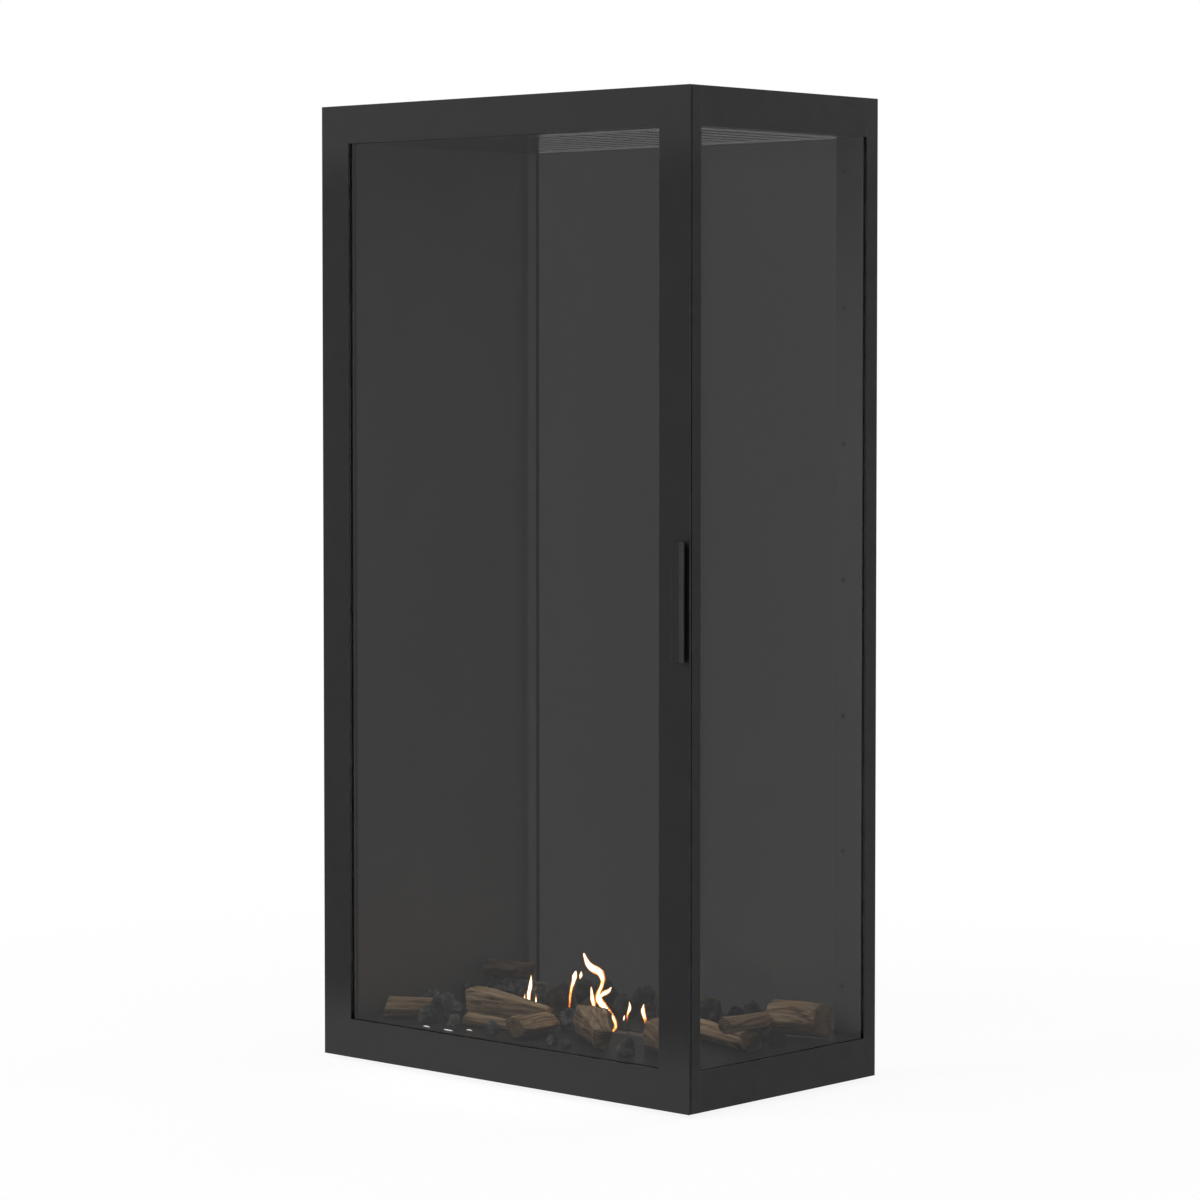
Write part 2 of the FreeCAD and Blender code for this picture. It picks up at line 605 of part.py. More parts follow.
# Base and top
def base():
    """Base tray with floor anchor holes, on four feet."""
    pan_top = minus(SILL, "sheet")
    pan = tray(
        "base_pan", (LINER, SIDE_IN), (FRONT_END, REAR_START), (CASE_BOTTOM, pan_top),
        "Dims.sheet", "Dims.sheet",
    )
    holes = sketch_on(pan, "XY_Plane", "anchor_holes")
    for across in (plus(LINER, "anchor_inset_x"), minus(SIDE_IN, "anchor_inset_x")):
        for back in (plus(FRONT_END, "anchor_inset_y"), minus(REAR_START, "anchor_inset_y")):
            circle(holes, "Dims.anchor_hole_radius", across, back)
    pocket(pan, holes)

    feet = []
    for across in (plus(LINER, "foot_inset"), minus(SIDE_IN, "foot_inset")):
        for back in (plus(FRONT_END, "foot_inset"), minus(REAR_START, "foot_inset")):
            foot = doc.addObject("Part::Cone", "foot")
            foot.setExpression("Radius1", "Dims.foot_tip_radius")
            foot.setExpression("Radius2", "Dims.foot_radius")
            foot.setExpression("Height", "Dims.foot_height")
            feet.append(place(foot, across, back, "0"))
    node("feet", group("feet", feet))


def vents():
    """Slotted ceiling tray over the fire and slotted cover over the case."""
    ceiling = tray(
        "ceiling_grille", (LINER, SIDE_IN), (FRONT_END, REAR_START), (HEAD, COVER_UNDER),
        "Dims.sheet", "Dims.sheet",
    )
    slots = sketch_on(ceiling, "XY_Plane", "ceiling_slots")
    slot_y = (plus(FRONT_END, "vent_border"), minus(REAR_START, "vent_border"))
    long_slot(slots, "vent_slot_wide", plus(LINER, "vent_border"), slot_y)
    first = pocket(ceiling, slots)
    row_of(ceiling, first, slots, f"{SIDE_IN} - {LINER} - 2 * Dims.vent_border", "Dims.vent_count")

    cover = doc.addObject("PartDesign::Body", "top_cover")
    place(cover, "0", "0", COVER_UNDER)
    plan = sketch_on(cover, "XY_Plane", "top_cover_plan")
    rectangle(
        plan, (minus(LINER, "sheet"), plus(SIDE_IN, "cover_lap")),
        (minus(FRONT_END, "cover_lap"), plus(REAR_START, "cover_lap")),
    )
    pad(cover, plan, "Dims.sheet")
    gaps = sketch_on(cover, "XY_Plane", "top_cover_slots")
    long_slot(gaps, "cover_slot_wide", plus(LINER, "vent_border"), slot_y)
    first = pocket(cover, gaps)
    row_of(cover, first, gaps, f"{SIDE_IN} - {LINER} - 2 * Dims.vent_border", "Dims.cover_count")
    node("top_cover", cover)


# Hearth and burner
def hearth():
    """Hearth plate with a lip towards the door and the burner slot cut through."""
    body = doc.addObject("PartDesign::Body", "hearth_plate")
    place(body, "0", "0", minus(SILL, "sheet"))
    plan = sketch_on(body, "XY_Plane", "hearth_plan")
    lip = minus(FRONT_END, "hearth_reach")
    lip_right = minus(FRAME_OPEN_RIGHT, "hearth_side_gap")
    outline(plan, [
        (LINER, lip), (lip_right, lip), (lip_right, FRONT_END), (SIDE_IN, FRONT_END),
        (SIDE_IN, REAR_START), (LINER, REAR_START),
    ])
    rectangle(
        plan, (f"-{SLOT_HALF}", SLOT_HALF),
        (f"{BURNER_Y} - Dims.slot_wide / 2", f"{BURNER_Y} + Dims.slot_wide / 2"),
    )
    pad(body, plan, "Dims.sheet")
    node("hearth_plate", body)


def burner():
    """Fuel tray with its wool, two runners and two sliding snuffer lids under the hearth."""
    tray_half = "(Dims.slot_wide / 2 + Dims.tray_side_over)"
    tray_x = (minus(f"-{SLOT_HALF}", "tray_end_over"), plus(SLOT_HALF, "tray_end_over"))
    tray_y = (f"({BURNER_Y} - {tray_half})", f"({BURNER_Y} + {tray_half})")
    tray_floor = plus(CASE_BOTTOM, "sheet")
    tray(
        "burner_tray", tray_x, tray_y, (tray_floor, plus(tray_floor, "tray_tall")),
        "Dims.tray_wall", "Dims.tray_wall",
    )
    wool_floor = plus(tray_floor, "tray_wall")
    node("ceramic_wool", block(
        "ceramic_wool",
        (plus(tray_x[0], "tray_wall", "wool_play"), minus(tray_x[1], "tray_wall", "wool_play")),
        (plus(tray_y[0], "tray_wall", "wool_play"), minus(tray_y[1], "tray_wall", "wool_play")),
        (wool_floor, plus(wool_floor, "wool_tall")),
    ))

    hearth_under = minus(SILL, "sheet")
    runner_foot = minus(hearth_under, "runner_tall")
    lip_top = plus(runner_foot, "sheet")
    half_lid = "(Dims.slot_wide / 2 + Dims.lid_over)"
    lid_long = plus(SLOT_HALF, "lid_gap")
    lid_end = f"(2 * {lid_long})"
    for name, sign in (("front", "-"), ("rear", "+")):
        web = f"({BURNER_Y} {sign} ({half_lid} + Dims.lid_side_play))"
        web_far = f"({BURNER_Y} {sign} ({half_lid} + Dims.lid_side_play + Dims.sheet))"
        lip_near = f"({BURNER_Y} {sign} ({half_lid} - Dims.runner_lip))"
        end = plus(lid_end, "runner_end")
        runner = doc.addObject("PartDesign::Body", f"snuffer_runner_{name}")
        place(runner, f"-{end}", "0", "0")
        section = sketch_on(runner, "YZ_Plane", f"runner_{name}_section")
        outline(section, [
            (lip_near, runner_foot), (web_far, runner_foot), (web_far, hearth_under),
            (web, hearth_under), (web, lip_top), (lip_near, lip_top),
        ])
        pad(runner, section, f"2 * {end}")
        node(f"snuffer_runner_{name}", runner)

    for name, sign in (("left", "-"), ("right", "")):
        lid = doc.addObject("PartDesign::Body", f"snuffer_{name}")
        place(lid, "0", BURNER_Y, plus(lip_top, "lid_play"))
        plan = sketch_on(lid, "XY_Plane", f"snuffer_{name}_plan")
        rectangle(plan, (f"{sign}{lid_long}", f"{sign}{lid_end}"), (f"-{half_lid}", half_lid))
        circle(plan, "Dims.lid_hook_radius", f"{sign}{plus(lid_long, 'lid_hook_in')}", "0")
        pad(lid, plan, "Dims.lid_thick")
        node(f"snuffer_{name}", lid)


# Log set
def log_shape(long, radius, tall, taper, phase):
    """Split log along X: many-sided sections that swell, bend and taper, with a flat base and top."""
    slants = {0: LOG_SLANT * math.sin(2 * phase + 1), LOG_RINGS - 1: LOG_SLANT * math.cos(3 * phase)}
    wires = []
    for ring in range(LOG_RINGS):
        along = ring / (LOG_RINGS - 1)
        thin = 1 - taper * along
        swell = thin + LOG_SWELL * math.sin(4 * along + phase)
        bend = LOG_BEND * radius * math.sin(math.pi * along) * math.sin(phase)
        points = []
        for corner in range(LOG_CORNERS):
            turn = math.pi * (2 * corner + 1) / LOG_CORNERS
            bark = 1 + LOG_BARK * math.sin(3 * turn + phase) + LOG_RIPPLE * math.sin(2 * turn + 5 * along)
            reach = radius * swell * bark
            up = min(max(reach * math.sin(turn) + thin * tall / 2, 0), thin * tall)
            x = long * along - long / 2 + slants.get(ring, 0) * (up - thin * tall / 2)
            points.append(FreeCAD.Vector(x, bend + reach * math.cos(turn), up))
        wires.append(Part.makePolygon(points + points[:1]))
    return Part.makeLoft(wires, True, True)


def coal_shape(radius, tall, phase):
    """Rough lump on a flat base, from many-sided rings."""
    wires = []
    for level, wide in COAL_LEVELS:
        points = []
        for corner in range(COAL_CORNERS):
            turn = 2 * math.pi * corner / COAL_CORNERS + COAL_TWIST * level + phase
            reach = radius * wide * (1 + COAL_ROUGH * math.sin(2 * turn + 3 * phase))
            points.append(FreeCAD.Vector(reach * math.cos(turn), reach * math.sin(turn), tall * level))
        wires.append(Part.makePolygon(points + points[:1]))
    return Part.makeLoft(wires, True, True)


def set_down(name, shape, across, back, height, turn):
    """Free-form piece over the hearth, placed in log units from the middle of the floor."""
    left = -size("width") / 2 + size("left_inset") + size("left_wall")
    front = (size("handle_proud") - size("depth")) / 2 + size("front_zone")
    x = left + size("floor_wide") / 2 + size("log_unit") * across
    y = front + size("floor_deep") / 2 + size("log_unit") * back
    z = size("foot_height") + size("bottom_rail") + height
    piece = doc.addObject("Part::Feature", name)
    piece.Shape = shape
    upright = FreeCAD.Vector(0, 0, 1)
    piece.Placement = FreeCAD.Placement(FreeCAD.Vector(x, y, z), FreeCAD.Rotation(upright, turn))
    return piece


def log_set():
    """Ceramic logs on the hearth, two of them on the flat tops of others, and loose coals."""
    for order, (name, log) in enumerate((LOGS | UPPER_LOGS).items()):
        long, radius, tall = (size(f"{name}_{part}") for part in ("long", "radius", "tall"))
        across, back, turn, taper = log[3:7]
        height = size(f"{log[7]}_tall") + size("log_play") if name in UPPER_LOGS else 0
        shape = log_shape(long, radius, tall, taper, LOG_PHASE * order)
        node(name, set_down(name, shape, across, back, height, turn))
    unit = size("log_unit")
    for name, spots in (("coals_front", FRONT_COALS), ("coals_rear", REAR_COALS)):
        lumps = []
        for order, (across, back, factor) in enumerate(spots):
            shape = coal_shape(unit * COAL_RADIUS * factor, unit * COAL_TALL * factor, COAL_PHASE * order)
            lumps.append(set_down(f"{name}_lump", shape, across, back, 0, 0))
        node(name, group(name, lumps))


def export():
    """Checks every object, then writes each sub-part to its own file."""
    doc.recompute()
    for item in doc.Objects:
        if "Invalid" in item.State or "Error" in item.State:
            raise RuntimeError(f"{item.Label} failed: {item.State}")
    for piece in nodes:
        if piece.Shape.isNull() or not piece.Shape.isValid():
            raise RuntimeError(f"{piece.Label} has no valid shape")
    os.makedirs("parts", exist_ok=True)
    for piece in nodes:
        piece.Shape.exportStep(f"parts/{piece.Label}.step")
    print(f"{len(nodes)} sub-parts written")


fill_sheet()
door()
hinges()
front_frame()
rear_window()
side_window()
closed_side()
base()
vents()
hearth()
burner()
log_set()
export()
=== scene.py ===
"""Looks of the free-standing glazed fireplace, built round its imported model. Metres throughout."""

import logging
import math
from abc import ABC, abstractmethod
from dataclasses import dataclass, field
from enum import Enum
from typing import Iterable, Sequence

import bmesh
import bpy
from mathutils import Matrix, Vector, noise
from mathutils.bvhtree import BVHTree


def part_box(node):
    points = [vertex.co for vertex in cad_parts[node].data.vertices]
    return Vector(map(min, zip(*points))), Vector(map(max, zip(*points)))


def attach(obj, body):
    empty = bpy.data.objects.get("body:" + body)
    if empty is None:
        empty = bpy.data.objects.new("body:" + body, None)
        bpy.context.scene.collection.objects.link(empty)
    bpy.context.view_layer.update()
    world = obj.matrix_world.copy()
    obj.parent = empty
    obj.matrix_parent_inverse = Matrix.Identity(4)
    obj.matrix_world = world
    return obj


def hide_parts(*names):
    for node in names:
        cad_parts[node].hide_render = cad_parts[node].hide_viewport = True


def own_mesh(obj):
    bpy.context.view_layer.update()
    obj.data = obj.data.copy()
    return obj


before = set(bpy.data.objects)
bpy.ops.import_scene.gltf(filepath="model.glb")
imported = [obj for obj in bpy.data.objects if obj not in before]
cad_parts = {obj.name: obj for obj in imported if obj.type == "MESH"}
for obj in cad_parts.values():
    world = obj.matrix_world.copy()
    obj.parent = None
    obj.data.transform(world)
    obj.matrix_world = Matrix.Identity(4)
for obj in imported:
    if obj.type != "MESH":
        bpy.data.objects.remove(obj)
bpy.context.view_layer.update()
LOG = logging.getLogger("fireplace")

Colour = tuple[float, float, float]
Place = tuple[float, float, float]
Range = tuple[float, float]
Face = tuple[int, ...]
Skin = tuple[list[Vector], list[Face]]
Socket = bpy.types.NodeSocket

WHITE = (1.0, 1.0, 1.0, 1.0)
UP = Vector((0, 0, 1))
# Range that most of a noise lies in
NOISE = (0.3, 0.7)
# Radians that a wave texture of scale 1 runs through in a metre
WAVE_RATE = 20


class Body(Enum):
    """CAD bodies that the pieces ride on."""

    CASE = "case"
    DOOR = "door"


class LogFace(Enum):
    """Material slots of a log: its split faces, its bark and its sawn ends."""

    SPLIT = 0
    BARK = 1
    END = 2


class LogLook(Enum):
    """How a whole log looks: split wood with bark, bark all round, or charred."""

    SPLIT = "split"
    BARK = "bark"
    CHAR = "char"


class LampKind(Enum):
    """Kinds of lamp in the studio."""

    AREA = "AREA"
    POINT = "POINT"
    SPOT = "SPOT"


def grey(level: float) -> Colour:
    """Colour with no hue."""
    return (level, level, level)


def shaded(colour: Colour, share: float) -> Colour:
    """Colour made darker or lighter by a share."""
    return tuple(c * share for c in colour)


class NodeGraph:
    """Node graph of a material or a world, with the steps that the finishes share."""

    def __init__(self, owner: bpy.types.Material | bpy.types.World) -> None:
        """Starts an empty graph.

        Args:
            owner: the material or world that it belongs to.
        """
        owner.use_nodes = True
        self.tree = owner.node_tree
        self.tree.nodes.clear()

    def add(self, kind: str, sockets: dict | None = None, output: int | str = 0, **settings) -> Socket:
        """Adds a node.

        Args:
            kind: Blender's name of the node, without its ShaderNode prefix.
            sockets: input name or index, with a value or a socket to link from.
            output: name or index of the output that is wanted.
            settings: properties of the node itself.

        Returns:
            That output.
        """
        node = self.tree.nodes.new(f"ShaderNode{kind}")
        for key, value in settings.items():
            setattr(node, key, value)
        for key, value in (sockets or {}).items():
            if isinstance(value, Socket):
                self.tree.links.new(value, node.inputs[key])
            else:
                node.inputs[key].default_value = value
        return node.outputs[output]

    def close(self, kind: str, shader: Socket) -> None:
        """Links the shader to the output node of a Material or a World."""
        self.tree.links.new(shader, self.tree.nodes.new(f"ShaderNodeOutput{kind}").inputs["Surface"])

    def point(self, stretch: Sequence[float] = (1, 1, 1)) -> Socket:
        """Object coordinates in metres, scaled along each axis."""
        return self.add("Mapping", {"Vector": self.add("TexCoord", output="Object"), "Scale": stretch})

    def height(self) -> Socket:
        """Height over the object's own origin, in metres."""
        return self.add("SeparateXYZ", {"Vector": self.add("TexCoord", output="Object")}, "Z")

    def noise(self, point: Socket, scale: float, detail: float = 4.0) -> Socket:
        """Cloudy pattern of scale waves per metre."""
        return self.add("TexNoise", {"Vector": point, "Scale": scale, "Detail": detail}, "Fac")

    def cells(self, point: Socket, scale: float) -> Socket:
        """Distance to the edges of a pattern of scale cells per metre."""
        sockets = {"Vector": point, "Scale": scale}
        return self.add("TexVoronoi", sockets, "Distance", feature="DISTANCE_TO_EDGE")

    def wave(self, point: Socket, scale: float, bend: float, detail: float, **settings) -> Socket:
        """Bands or rings, bent and broken up by a noise."""
        sockets = {"Vector": point, "Scale": scale, "Distortion": bend, "Detail": detail}
        return self.add("TexWave", sockets, "Fac", **settings)

    def span(self, value: Socket, source: Range, target: Range = (0.0, 1.0)) -> Socket:
        """Carries a value smoothly from one range into another.

        Args:
            value: the value.
            source: the range that it comes from.
            target: the range that it goes into.

        Returns:
            The new value.
        """
        return self.add("MapRange", {
            "Value": value, "From Min": source[0], "From Max": source[1],
            "To Min": target[0], "To Max": target[1],
        }, interpolation_type="SMOOTHSTEP")

    def math(self, operation: str, first: Socket | float, second: Socket | float) -> Socket:
        """One sum on two values."""
        return self.add("Math", {0: first, 1: second}, operation=operation)

    def times(self, first: Socket | float, second: Socket | float) -> Socket:
        """Product of two values."""
        return self.math("MULTIPLY", first, second)

    def vector(self, operation: str, first: Socket, second: Socket | Place = (0.0, 0.0, 0.0)) -> Socket:
        """One sum on two vectors that gives a number."""
        return self.add("VectorMath", {0: first, 1: second}, "Value", operation=operation)

    def ramp(self, value: Socket, stops: Sequence[tuple[float, Colour]]) -> Socket:
        """Adds a colour ramp.

        Args:
            value: the value that runs along it.
            stops: place and colour of each of its stops.

        Returns:
            The colour.
        """
        made = self.add("ValToRGB", {"Fac": value})
        elements = made.node.color_ramp.elements
        while len(elements) < len(stops):
            elements.new(1.0)
        for element, (place, colour) in zip(elements, stops):
            element.position = place
            element.color = (*colour, 1.0)
        return made

    def mix(self, share: Socket | float, first: Socket | Colour, second: Socket | Colour) -> Socket:
        """Two colours mixed by a share."""
        colours = [c if isinstance(c, Socket) else (*c, 1.0) for c in (first, second)]
        return self.add("MixRGB", {"Fac": share, "Color1": colours[0], "Color2": colours[1]})

    def fade(self, share: Socket, first: Socket, second: Socket) -> Socket:
        """Two shaders mixed by a share."""
        return self.add("MixShader", {0: share, 1: first, 2: second})

    def bump(self, height: Socket, depth: float, normal: Socket | None = None) -> Socket:
        """Roughens a normal.

        Args:
            height: the relief, 0 to 1.
            depth: its depth in metres.
            normal: the normal that it roughens, if not the surface's own.

        Returns:
            The new normal.
        """
        sockets = {"Height": height, "Distance": depth, "Strength": 1.0}
        if normal is not None:
            sockets["Normal"] = normal
        return self.add("Bump", sockets)

    def surface(self, colour: Socket, rough: Socket, normal: Socket, values: dict[str, float]) -> Socket:
        """Shader of what varies over the surface, and of plain values for its other sockets."""
        sockets = {"Base Color": colour, "Roughness": rough, "Normal": normal}
        return self.add("BsdfPrincipled", sockets | values)


@dataclass(frozen=True)
class Finish(ABC):
    """One surface finish."""

    name: str

    @abstractmethod
    def shade(self, graph: NodeGraph) -> Socket:
        """Builds the finish's nodes.

        Args:
            graph: the material's empty graph.

        Returns:
            The shader.
        """

    def material(self) -> bpy.types.Material:
        """Makes the finish's material on its first use.

        Returns:
            The material.
        """
        title = f"{self.name}_finish"
        made = bpy.data.materials.get(title)
        if made is None:
            made = bpy.data.materials.new(title)
            graph = NodeGraph(made)
            graph.close("Material", self.shade(graph))
        return made


@dataclass(frozen=True)
class PaintedLightBand:
    """Painted light or shade: a tone that a paint takes on from one height to another, on all faces or those
    that look one way.
    """

    start: float
    end: float
    colour: Colour
    facing: Place | None = None

    def share(self, graph: NodeGraph) -> Socket:
        """Builds the nodes of the tone's share.

        Args:
            graph: the paint's graph.

        Returns:
            The share, 0 to 1.
        """
        share = graph.span(graph.height(), (self.start, self.end))
        if self.facing:
            looks = graph.vector("DOT_PRODUCT", graph.add("TexCoord", output="Normal"), self.facing)
            share = graph.times(share, graph.span(looks, (0.5, 0.9)))
        return share


@dataclass(frozen=True)
class Paint(Finish):
    """Sprayed or moulded skin: cloudy colour, fine texture, rounded edges lighter in patches, partly wear and
    partly a painted highlight.
    """

    colour: Colour
    spread: float = 0.08
    rough: Range = (0.42, 0.52)
    texture: float = 700.0
    depth: float = 0.00006
    specular: float = 0.35
    edge: float = 0.0
    wear_and_highlight: Colour = grey(0.08)
    bands: Sequence[PaintedLightBand] = ()
    warm: Colour = grey(0.0)
    warm_spot: Place = (0.0, 0.0, 0.0)
    warm_reach: float = 0.0

    def shade(self, graph: NodeGraph) -> Socket:
        """Builds cloudy colour, with bands of painted light or shade, edges lighter in patches as wear and as
        a painted highlight, and a warmer, lighter patch round one spot, where they are asked for.

        Args:
            graph: the material's empty graph.

        Returns:
            The shader.
        """
        point = graph.point()
        low, high = (shaded(self.colour, 1 + way * self.spread) for way in (-1, 1))
        colour = graph.ramp(graph.noise(point, 9.0, 5.0), [(0.3, low), (0.7, high)])
        # Painted light or shade, band by band
        for band in self.bands:
            colour = graph.mix(band.share(graph), colour, band.colour)
        rounded = None
        # Edges lighter in patches: partly wear, partly a painted highlight
        if self.edge:
            rounded = graph.add("Bevel", {"Radius": self.edge}, samples=4)
            square = graph.vector("DOT_PRODUCT", rounded, graph.add("NewGeometry", output="Normal"))
            wear_and_highlight_patches = graph.span(graph.noise(point, 60.0), (0.42, 0.62), (0.1, 0.7))
            colour = graph.mix(graph.times(graph.span(square, (0.98, 0.85)), wear_and_highlight_patches), colour, self.wear_and_highlight)
        # A warmer, lighter patch round one spot
        if self.warm_reach:
            near = graph.span(graph.vector("DISTANCE", point, self.warm_spot), (self.warm_reach, 0.0))
            patch = graph.span(graph.noise(point, 12.0), (0.35, 0.65), (0.6, 1.0))
            colour = graph.mix(graph.times(near, patch), colour, self.warm)
        rough = graph.span(graph.noise(point, 40.0), NOISE, self.rough)
        normal = graph.bump(graph.noise(point, self.texture, 3.0), self.depth, rounded)
        return graph.surface(colour, rough, normal, {"Specular IOR Level": self.specular})


@dataclass(frozen=True)
class Enamel(Finish):
    """Dull black enamel with faint waves and a little ash dust."""

    colour: Colour = (0.040, 0.040, 0.041)
    dust: Colour = (0.11, 0.10, 0.09)
    waves: float = 0.00025

    def shade(self, graph: NodeGraph) -> Socket:
        """Builds a coat that dust breaks up in places.

        Args:
            graph: the material's empty graph.

        Returns:
            The shader.
        """
        point = graph.point()
        specks = graph.span(graph.noise(point, 420.0, 6.0), (0.62, 0.74), (0.0, 0.35))
        drift = graph.span(graph.noise(point, 14.0), (0.45, 0.75))
        colour = graph.mix(graph.times(specks, drift), self.colour, self.dust)
        rough = graph.span(graph.noise(point, 22.0), (0.35, 0.7), (0.30, 0.42))
        normal = graph.bump(graph.noise(point, 12.0, 2.0), self.waves)
        return graph.surface(colour, rough, normal, {"Specular IOR Level": 0.04})


@dataclass(frozen=True)
class Pane(Finish):
    """Smoke-tinted flat glass that lets lamps through."""

    tint: float = 0.395
    clear: float = 0.93
    index: float = 1.355

    def shade(self, graph: NodeGraph) -> Socket:
        """Builds a tinted see-through sheet under a clear gloss, with faint wipe marks in the gloss.

        Args:
            graph: the material's empty graph.

        Returns:
            The shader.
        """
        haze = graph.noise(graph.point((1.0, 1.0, 0.25)), 16.0, 6.0)
        dark = graph.ramp(haze, [(0.3, grey(self.tint * 0.985)), (0.7, grey(self.tint))])
        seen = graph.add("LightPath", output="Is Camera Ray")
        through = graph.add("BsdfTransparent", {"Color": graph.mix(seen, grey(self.clear), dark)})
        wiped = graph.span(haze, (0.4, 0.7), (0.0, 0.03))
        gloss = graph.add("BsdfGlossy", {"Color": WHITE, "Roughness": wiped})
        front = graph.math("SUBTRACT", 1.0, graph.add("NewGeometry", output="Backfacing"))
        share = graph.times(graph.add("Fresnel", {"IOR": self.index}), front)
        return graph.fade(share, through, gloss)


@dataclass(frozen=True)
class Weave(Finish):
    """Woven or felted fibre."""

    dark: Colour
    light: Colour
    threads: float = 900.0
    depth: float = 0.0002

    def shade(self, graph: NodeGraph) -> Socket:
        """Builds crossing threads under loose fuzz.

        Args:
            graph: the material's empty graph.

        Returns:
            The shader.
        """
        point = graph.point()
        warp, weft = (
            graph.wave(point, self.threads / WAVE_RATE, 2.0, 2.0, bands_direction=axis) for axis in ("X", "Z")
        )
        fuzz = graph.noise(point, self.threads, 5.0)
        height = graph.math("ADD", graph.times(warp, weft), fuzz)
        colour = graph.ramp(graph.times(height, 0.6), [(0.2, self.dark), (0.8, self.light)])
        return graph.surface(colour, graph.span(fuzz, NOISE, (0.82, 0.98)), graph.bump(height, self.depth), {
            "Specular IOR Level": 0.2, "Sheen Weight": 0.25, "Sheen Roughness": 0.6,
        })


@dataclass(frozen=True)
class Metal(Finish):
    """Bare metal with brush or turning marks along one direction."""

    colour: Colour
    marks: tuple[float, float, float] = (12.0, 900.0, 900.0)
    rough: Range = (0.22, 0.38)
    soot: float = 0.0
    soot_colour: Colour = (0.03, 0.025, 0.02)
    depth: float = 0.00004

    def shade(self, graph: NodeGraph) -> Socket:
        """Builds fine lines in the roughness and the normal, dulled by soot where it is asked for.

        Args:
            graph: the material's empty graph.

        Returns:
            The shader.
        """
        lines = graph.noise(graph.point(self.marks), 1.0, 6.0)
        colour = graph.ramp(lines, [(0.3, shaded(self.colour, 0.8)), (0.7, self.colour)])
        patch = graph.span(graph.noise(graph.point(), 30.0), (0.35, 0.7), (0.0, self.soot))
        colour = graph.mix(patch, colour, self.soot_colour)
        rough = graph.span(lines, (0.25, 0.75), self.rough)
        normal = graph.bump(lines, self.depth)
        return graph.surface(colour, rough, normal, {"Metallic": 1.0, "Anisotropic": 0.4})


@dataclass(frozen=True)
class Wood(Finish):
    """Cast ceramic painted as wood, with its grain along the piece's own X axis."""

    stops: tuple[tuple[float, Colour], ...]
    stretch: tuple[float, float, float]
    char: Range
    rings: bool = False
    depth: float = 0.0006
    burnt: Colour = (0.018, 0.016, 0.015)

    def shade(self, graph: NodeGraph) -> Socket:
        """Builds grain, darker streaks and charred patches.

        Args:
            graph: the material's empty graph.

        Returns:
            The shader.
        """
        grain = graph.noise(graph.point(self.stretch), 1.0, 8.0)
        if self.rings:
            end = graph.point((0.0, 1.0, 1.0))
            circles = graph.wave(end, 95.0, 3.0, 3.0, wave_type="RINGS", rings_direction="X")
            grain = graph.math("ADD", graph.times(circles, 0.45), graph.times(grain, 0.55))
        fine = graph.noise(graph.point(tuple(s * 2.3 for s in self.stretch)), 1.0, 5.0)
        streak = graph.span(fine, (0.52, 0.68), (0.0, 0.55))
        colour = graph.mix(streak, graph.ramp(grain, self.stops), shaded(self.stops[0][1], 0.35))
        charred = graph.span(graph.noise(graph.point(), 26.0, 5.0), self.char, (0.0, 0.92))
        colour = graph.mix(charred, colour, self.burnt)
        rough = graph.span(grain, NOISE, (0.95, 0.75))
        normal = graph.bump(graph.math("SUBTRACT", grain, streak), self.depth)
        return graph.surface(colour, rough, normal, {"Specular IOR Level": 0.2})


@dataclass(frozen=True)
class Char(Finish):
    """Charred coal: blue-black crust, brown tints, pale specks of ash and dark cracks."""

    tone: float = 1.0
    stops: tuple[tuple[float, Colour], ...] = (
        (0.32, (0.030, 0.033, 0.038)), (0.50, (0.130, 0.145, 0.160)), (0.70, (0.36, 0.335, 0.305)),
    )
    ash: Colour = (0.42, 0.41, 0.40)
    crack: Colour = (0.012, 0.011, 0.011)
    depth: float = 0.0045

    def shade(self, graph: NodeGraph) -> Socket:
        """Builds a crust by noise, with cracks by bent cells.

        Args:
            graph: the material's empty graph.

        Returns:
            The shader.
        """
        point = graph.point()
        crust = graph.noise(point, 85.0, 9.0)
        sway = graph.times(graph.noise(point, 90.0), 0.02)
        bent = graph.add("VectorMath", {0: point, 1: sway}, operation="ADD")
        cracks = graph.span(graph.cells(bent, 75.0), (0.0, 0.12), (1.0, 0.0))
        colour = graph.ramp(crust, [(place, shaded(stop, self.tone)) for place, stop in self.stops])
        ash = graph.span(graph.noise(point, 320.0, 4.0), (0.60, 0.72), (0.0, 0.5 * self.tone))
        colour = graph.mix(ash, colour, self.ash)
        colour = graph.mix(graph.times(cracks, 0.45), colour, self.crack)
        rough = graph.span(crust, NOISE, (0.95, 0.6))
        normal = graph.bump(graph.math("SUBTRACT", crust, graph.times(cracks, 0.3)), self.depth)
        return graph.surface(colour, rough, normal, {"Specular IOR Level": 0.35})


